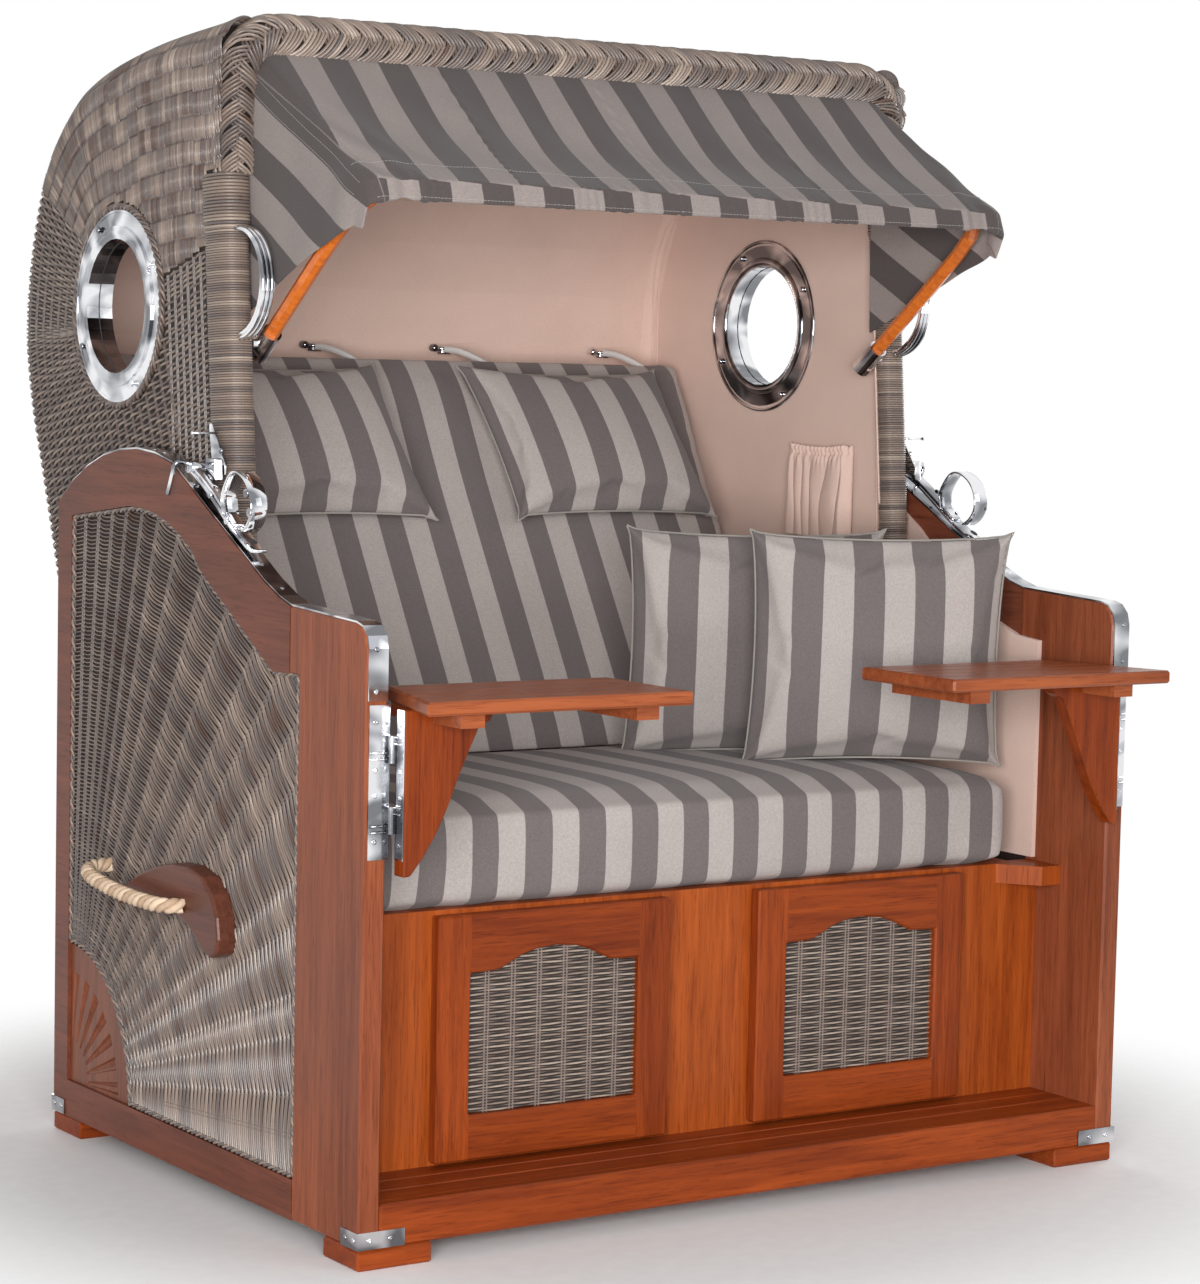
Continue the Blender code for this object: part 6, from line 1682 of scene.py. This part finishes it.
def cross_rod(sign, ends, y, z, radius, sides):
    """A straight rod across the chair, through three distances from its middle."""
    return rod(np.array([[sign * x, y, z] for x in ends]), radius, sides)


def lever(side, sign, kit):
    """Latch: strap with a slot, band loop to lift it by, hinge rod, hook rod, leaf and pin."""
    upper = smooth_line(STRAP_LINE[2:], 0.004) + np.array([-0.0018, 0.0036])
    hook = smooth_line([
        (sign * 0.6180, -0.0255, 0.9870), (sign * 0.6300, -0.0265, 0.9890), (sign * 0.6385, -0.0260, 0.9895),
        (sign * 0.6425, -0.0240, 0.9850), (sign * 0.6430, -0.0190, 0.9740), (sign * 0.6430, -0.0050, 0.9460),
    ], 0.002)
    block = yz([(0.4530, 0.9660), (0.4850, 0.9830), (0.4830, 0.9960), (0.4560, 0.9960)])
    out = (sign, 0, 0)
    meshes = [
        side_band(sign, smooth_line(STRAP_LINE, 0.004), 0.0115, 0.0018),
        side_band(sign, upper, 0.0085, 0.0016),
        side_band(sign, smooth_line(LOOP_LINE, 0.003), 0.0125, 0.0013),
        cross_rod(sign, (0.5805, 0.6010, 0.6225), -0.0221, 0.9824, 0.0074, 20),
        rod(hook, 0.0032, 12),
        plate(side_path(sign, 0.5885, LEAF_OUTLINE), (sign * 0.0024, 0, 0)),
        cross_rod(sign, (0.5900, 0.6100, 0.6265), -0.0422, 1.0291, 0.0016, 12),
        turned_mesh((sign * 0.6255, -0.0422, 1.0291), out, PIN_HEAD),
        plate(side_path(sign, 0.5920, block), (sign * 0.0120, 0, 0), 0.0020),
    ]
    for y, z in ((0.4760, 0.9920), (0.4640, 0.9880), (0.4640, 1.0060)):
        meshes.append(turned_mesh((sign * 0.5905, y + SHIFT_Y, z), out, LEAF_RIVET))
    for y, z, r in (
        (0.3320, 0.9550, 0.0060), (0.3230, 0.9300, 0.0060), (0.3870, 0.9160, 0.0050), (0.4350, 0.9480, 0.0050),
    ):
        hollow = ((r, -0.002), (r, 0.0006), (r * 0.8, 0.0016), (r * 0.3, 0.0016), (r * 0.25, 0.0004), (0.00002, 0.0003))
        meshes.append(turned_mesh((sign * 0.6210, y + SHIFT_Y, z), out, hollow))
    thing = joined(side + "_latch", meshes, kit["chrome"], side + "_lever")
    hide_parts(side + "_lift_lever")
    # painted shadow: a thin dark plate where the strap's slot is open
    slot = []
    for turn in range(20):
        along, aside = (0.0075 * math.cos(turn * math.pi / 10), 0.0045 * math.sin(turn * math.pi / 10))
        slot.append((sign * (0.6095 + aside), -0.1895 + along * 0.89, 0.8915 + along * 0.46))
    joined(side + "_latch_slot", [plate(slot, (0, 0, 0.0006), 0.0001)], RUBBER_AND_SHADOW, side + "_lever")


ARCH_TOP = yz([
    (0.2000, 0.8170), (0.232, 0.826), (0.277, 0.845), (0.3056, 0.8600), (0.4344, 0.9375), (0.470, 0.9570),
    (0.5461, 0.9869), (0.600, 0.9981), (0.657, 1.0020), (0.714, 0.9981), (0.767, 0.9872), (0.820, 0.9688),
    (0.870, 0.9436), (0.892, 0.9290),
])


def strip_screws(side, sign, kit):
    """Small countersunk screws along the bright strip on the arm and arch."""
    heads = []
    for y, up in (
        (0.3056, (-0.50, 0.86)), (0.592, (-0.16, 0.99)), (0.6222, (-0.08, 1.0)), (0.700, (0.10, 1.0)),
        (0.780, (0.30, 0.95)), (0.850, (0.46, 0.89)), (0.250, (-0.34, 0.94)),
    ):
        nearest = np.interp(y + SHIFT_Y, ARCH_TOP[:, 0], ARCH_TOP[:, 1])
        heads.append(screw((sign * 0.6095, y + SHIFT_Y, nearest + 0.0024), (0, *up), 0.0032, 0.0012))
    for z in (0.7776, 0.7256):
        heads.append(screw((sign * 0.6128, -0.5232, z), (0, -1, 0), 0.0034, 0.0013))
    joined(side + "_strip_screws", heads, kit["steel"], "base")


def hinge_leaves(side, sign, kit):
    """Screws and pressed ridges of the fixed leaf, and the leaf on the table's bracket."""
    fixed, moving = [], []
    for z in (0.6881, 0.6286, 0.5972, 0.5396):
        fixed.append(screw((sign * 0.6130, -0.5231, z), (0, -1, 0), 0.0036, 0.0013))
    for z in (0.6500, 0.6420, 0.5590, 0.5510):
        ridge = np.array([[sign * 0.6195, -0.5236, z], [sign * 0.6070, -0.5242, z], [sign * 0.5960, -0.5262, z]])
        fixed.append(rod(ridge, 0.0018, 10))
    joined(side + "_hinge_fixings", fixed, kit["chrome"], "base")
    edge = [(sign * 0.5862, y, z) for y, z in ((-0.5300, 0.517), (-0.5300, 0.704), (-0.5490, 0.704), (-0.5490, 0.517))]
    moving.append(plate(edge, (sign * 0.0012, 0, 0), 0.0004))
    for z in (0.6860, 0.6271, 0.5944, 0.5354):
        moving.append(screw((sign * 0.5874, -0.5410, z), (sign, 0, 0), 0.0034, 0.0013))
    for z in (0.6693, 0.6613, 0.5822, 0.5742):
        ridge = np.array([[sign * 0.5878, -0.5440, z], [sign * 0.5886, -0.5370, z], [sign * 0.5905, -0.5300, z]])
        moving.append(rod(ridge, 0.0016, 10))
    joined(side + "_table_leaf", moving, kit["chrome"], side + "_table")


# ---------------------------------------------------------------- studio

def soft_lamp(name, place, target, size, power):
    """A rectangular lamp aimed at a target; power in watts."""
    light = bpy.data.lights.new(name, "AREA")
    light.shape = "RECTANGLE"
    light.size, light.size_y = size
    light.energy = power
    lamp = bpy.data.objects.new(name, light)
    lamp.location = place
    lamp.rotation_euler = (Vector(target) - Vector(place)).to_track_quat("-Z", "Y").to_euler()
    bpy.context.scene.collection.objects.link(lamp)
    return lamp


def floor_paper():
    """Pale paper that fades into the white surround away from the chair."""
    s = Shader("floor_paper")
    fibres = s.noise(s.coords((40, 40, 40)), 1.0, 3)
    s.put(Base_Color=s.ramp(fibres, ((0.3, (0.90, 0.90, 0.90)), (0.7, (0.94, 0.94, 0.94)))), Roughness=0.9)
    s.put(Specular_IOR_Level=0.0)
    middle = s.node("ShaderNodeVectorMath", operation="LENGTH")
    s.link(s.coords((1, 1, 1)), middle.inputs[0])
    fade = s.node("ShaderNodeMapRange", interpolation_type="SMOOTHSTEP")
    fade.inputs["From Min"].default_value = 0.75
    fade.inputs["From Max"].default_value = 1.35
    s.link(middle.outputs["Value"], fade.inputs["Value"])
    clear = s.node("ShaderNodeBsdfTransparent")
    mixed = s.node("ShaderNodeMixShader")
    s.link(fade.outputs["Result"], mixed.inputs["Fac"])
    s.link(s.bsdf.outputs[0], mixed.inputs[1])
    s.link(clear.outputs[0], mixed.inputs[2])
    s.link(mixed.outputs[0], s.tree.nodes["Material Output"].inputs["Surface"])
    return s.mat


def studio():
    """Floor, world and lamps. The world shows white to the camera and in metal, and lights softly."""
    mesh = bpy.data.meshes.new("floor")
    mesh.from_pydata([(-9, -9, 0), (9, -9, 0), (9, 9, 0), (-9, 9, 0)], [], [(0, 1, 2, 3)])
    floor = bpy.data.objects.new("floor", mesh)
    bpy.context.scene.collection.objects.link(floor)
    mesh.materials.append(floor_paper())
    world = bpy.data.worlds.new("studio")
    world.use_nodes = True
    tree = world.node_tree
    tree.nodes.clear()
    new, link = tree.nodes.new, tree.links.new
    path, mix, out = new("ShaderNodeLightPath"), new("ShaderNodeMixShader"), new("ShaderNodeOutputWorld")
    for place, strength in ((1, 0.30), (2, 1.0)):
        light = new("ShaderNodeBackground")
        light.inputs["Color"].default_value = (1, 1, 1, 1)
        light.inputs["Strength"].default_value = strength
        link(light.outputs[0], mix.inputs[place])
    seen = path.outputs["Is Camera Ray"]
    for kind in ("Is Glossy Ray", "Is Transmission Ray"):
        either = new("ShaderNodeMath")
        either.operation = "MAXIMUM"
        link(seen, either.inputs[0])
        link(path.outputs[kind], either.inputs[1])
        seen = either.outputs[0]
    link(seen, mix.inputs["Fac"])
    link(mix.outputs[0], out.inputs["Surface"])
    bpy.context.scene.world = world
    soft_lamp("front", (-2.7, -3.9, 1.10), (0.1, 0.1, 0.95), (2.4, 1.4), 228)
    soft_lamp("key", (1.4, -3.8, 2.2), (0, 0, 0.8), (2.4, 2.0), 22)
    soft_lamp("back", (0.9, 4.2, 1.0), (0, 0, 0.8), (2.4, 1.4), 95)
    soft_lamp("right", (3.8, 0.7, 1.1), (0.6, 0, 0.8), (2.0, 1.4), 55)


def camera_frame():
    """The photograph's own viewpoint: where the camera stands and how it is turned."""
    yaw, pitch, roll = 0.587334902, 0.0816236152, 0.0215782958
    ahead = Vector((math.sin(yaw) * math.cos(pitch), math.cos(yaw) * math.cos(pitch), -math.sin(pitch)))
    right = Vector((math.cos(yaw), -math.sin(yaw), 0))
    up = right.cross(ahead)
    turned_right = math.cos(roll) * right + math.sin(roll) * up
    turned_up = -math.sin(roll) * right + math.cos(roll) * up
    return Vector((-2.64910, -4.07444, 1.12706)), Matrix((turned_right, turned_up, -ahead)).transposed()


def camera():
    """The camera at the photograph's own place and angle."""
    lens = bpy.data.cameras.new("camera")
    lens.sensor_fit = "VERTICAL"
    lens.sensor_height = 36.0
    lens.lens = lens.sensor_height * PHOTO_FOCAL / PHOTO_SIZE[1]
    body = bpy.data.objects.new("camera", lens)
    place, turn = camera_frame()
    body.matrix_world = Matrix.Translation(place) @ turn.to_4x4()
    bpy.context.scene.collection.objects.link(body)
    bpy.context.scene.camera = body
    bpy.context.scene.view_settings.view_transform = "Standard"


# ---------------------------------------------------------------- build

WICKER = wicker()
# painted shade: both backings are kept very dark to stand for the shade in the gaps between the strands
BACKING = wicker_backing("wicker_backing", (0.008, 0.005, 0.004), (0.028, 0.019, 0.015))
PANEL_BACKING = wicker_backing("panel_backing", (0.009, 0.005, 0.004), (0.050, 0.021, 0.013))
CUSHION = striped_cloth("cushion_stripes", (0.441, 0.396, 0.376), (0.160, 0.137, 0.134))
# painted shade: the canopy's stripe colours are set darker for the shade on its top, over the cloth's own colours
CANOPY = striped_cloth("canopy_stripes_painted_shade", (0.317, 0.268, 0.252), (0.087, 0.071, 0.068))
PIPING = plain_cloth("piping", (0.36, 0.33, 0.30), (0.27, 0.25, 0.23))
THREAD = thread()
WEBBING = plain_cloth("strap_webbing", (0.70, 0.68, 0.66), (0.60, 0.58, 0.56))
RUBBER_AND_SHADOW = black_rubber_and_shadow()
ROPE = rope_fibre()
KIT = dress()

for side, sign in SIDES:
    base_side(side, sign)
    rope(side, sign)
    inlay(side, sign)
    lever(side, sign, KIT)
    strip_screws(side, sign, KIT)
    hinge_leaves(side, sign, KIT)
shell_core()
hood_weave()
post_wraps()
braid()
edge_cord()
cushions()
canopy()
hardware(KIT)
lining_details(KIT)
straps(KIT)
pocket(KIT)
studio()
camera()
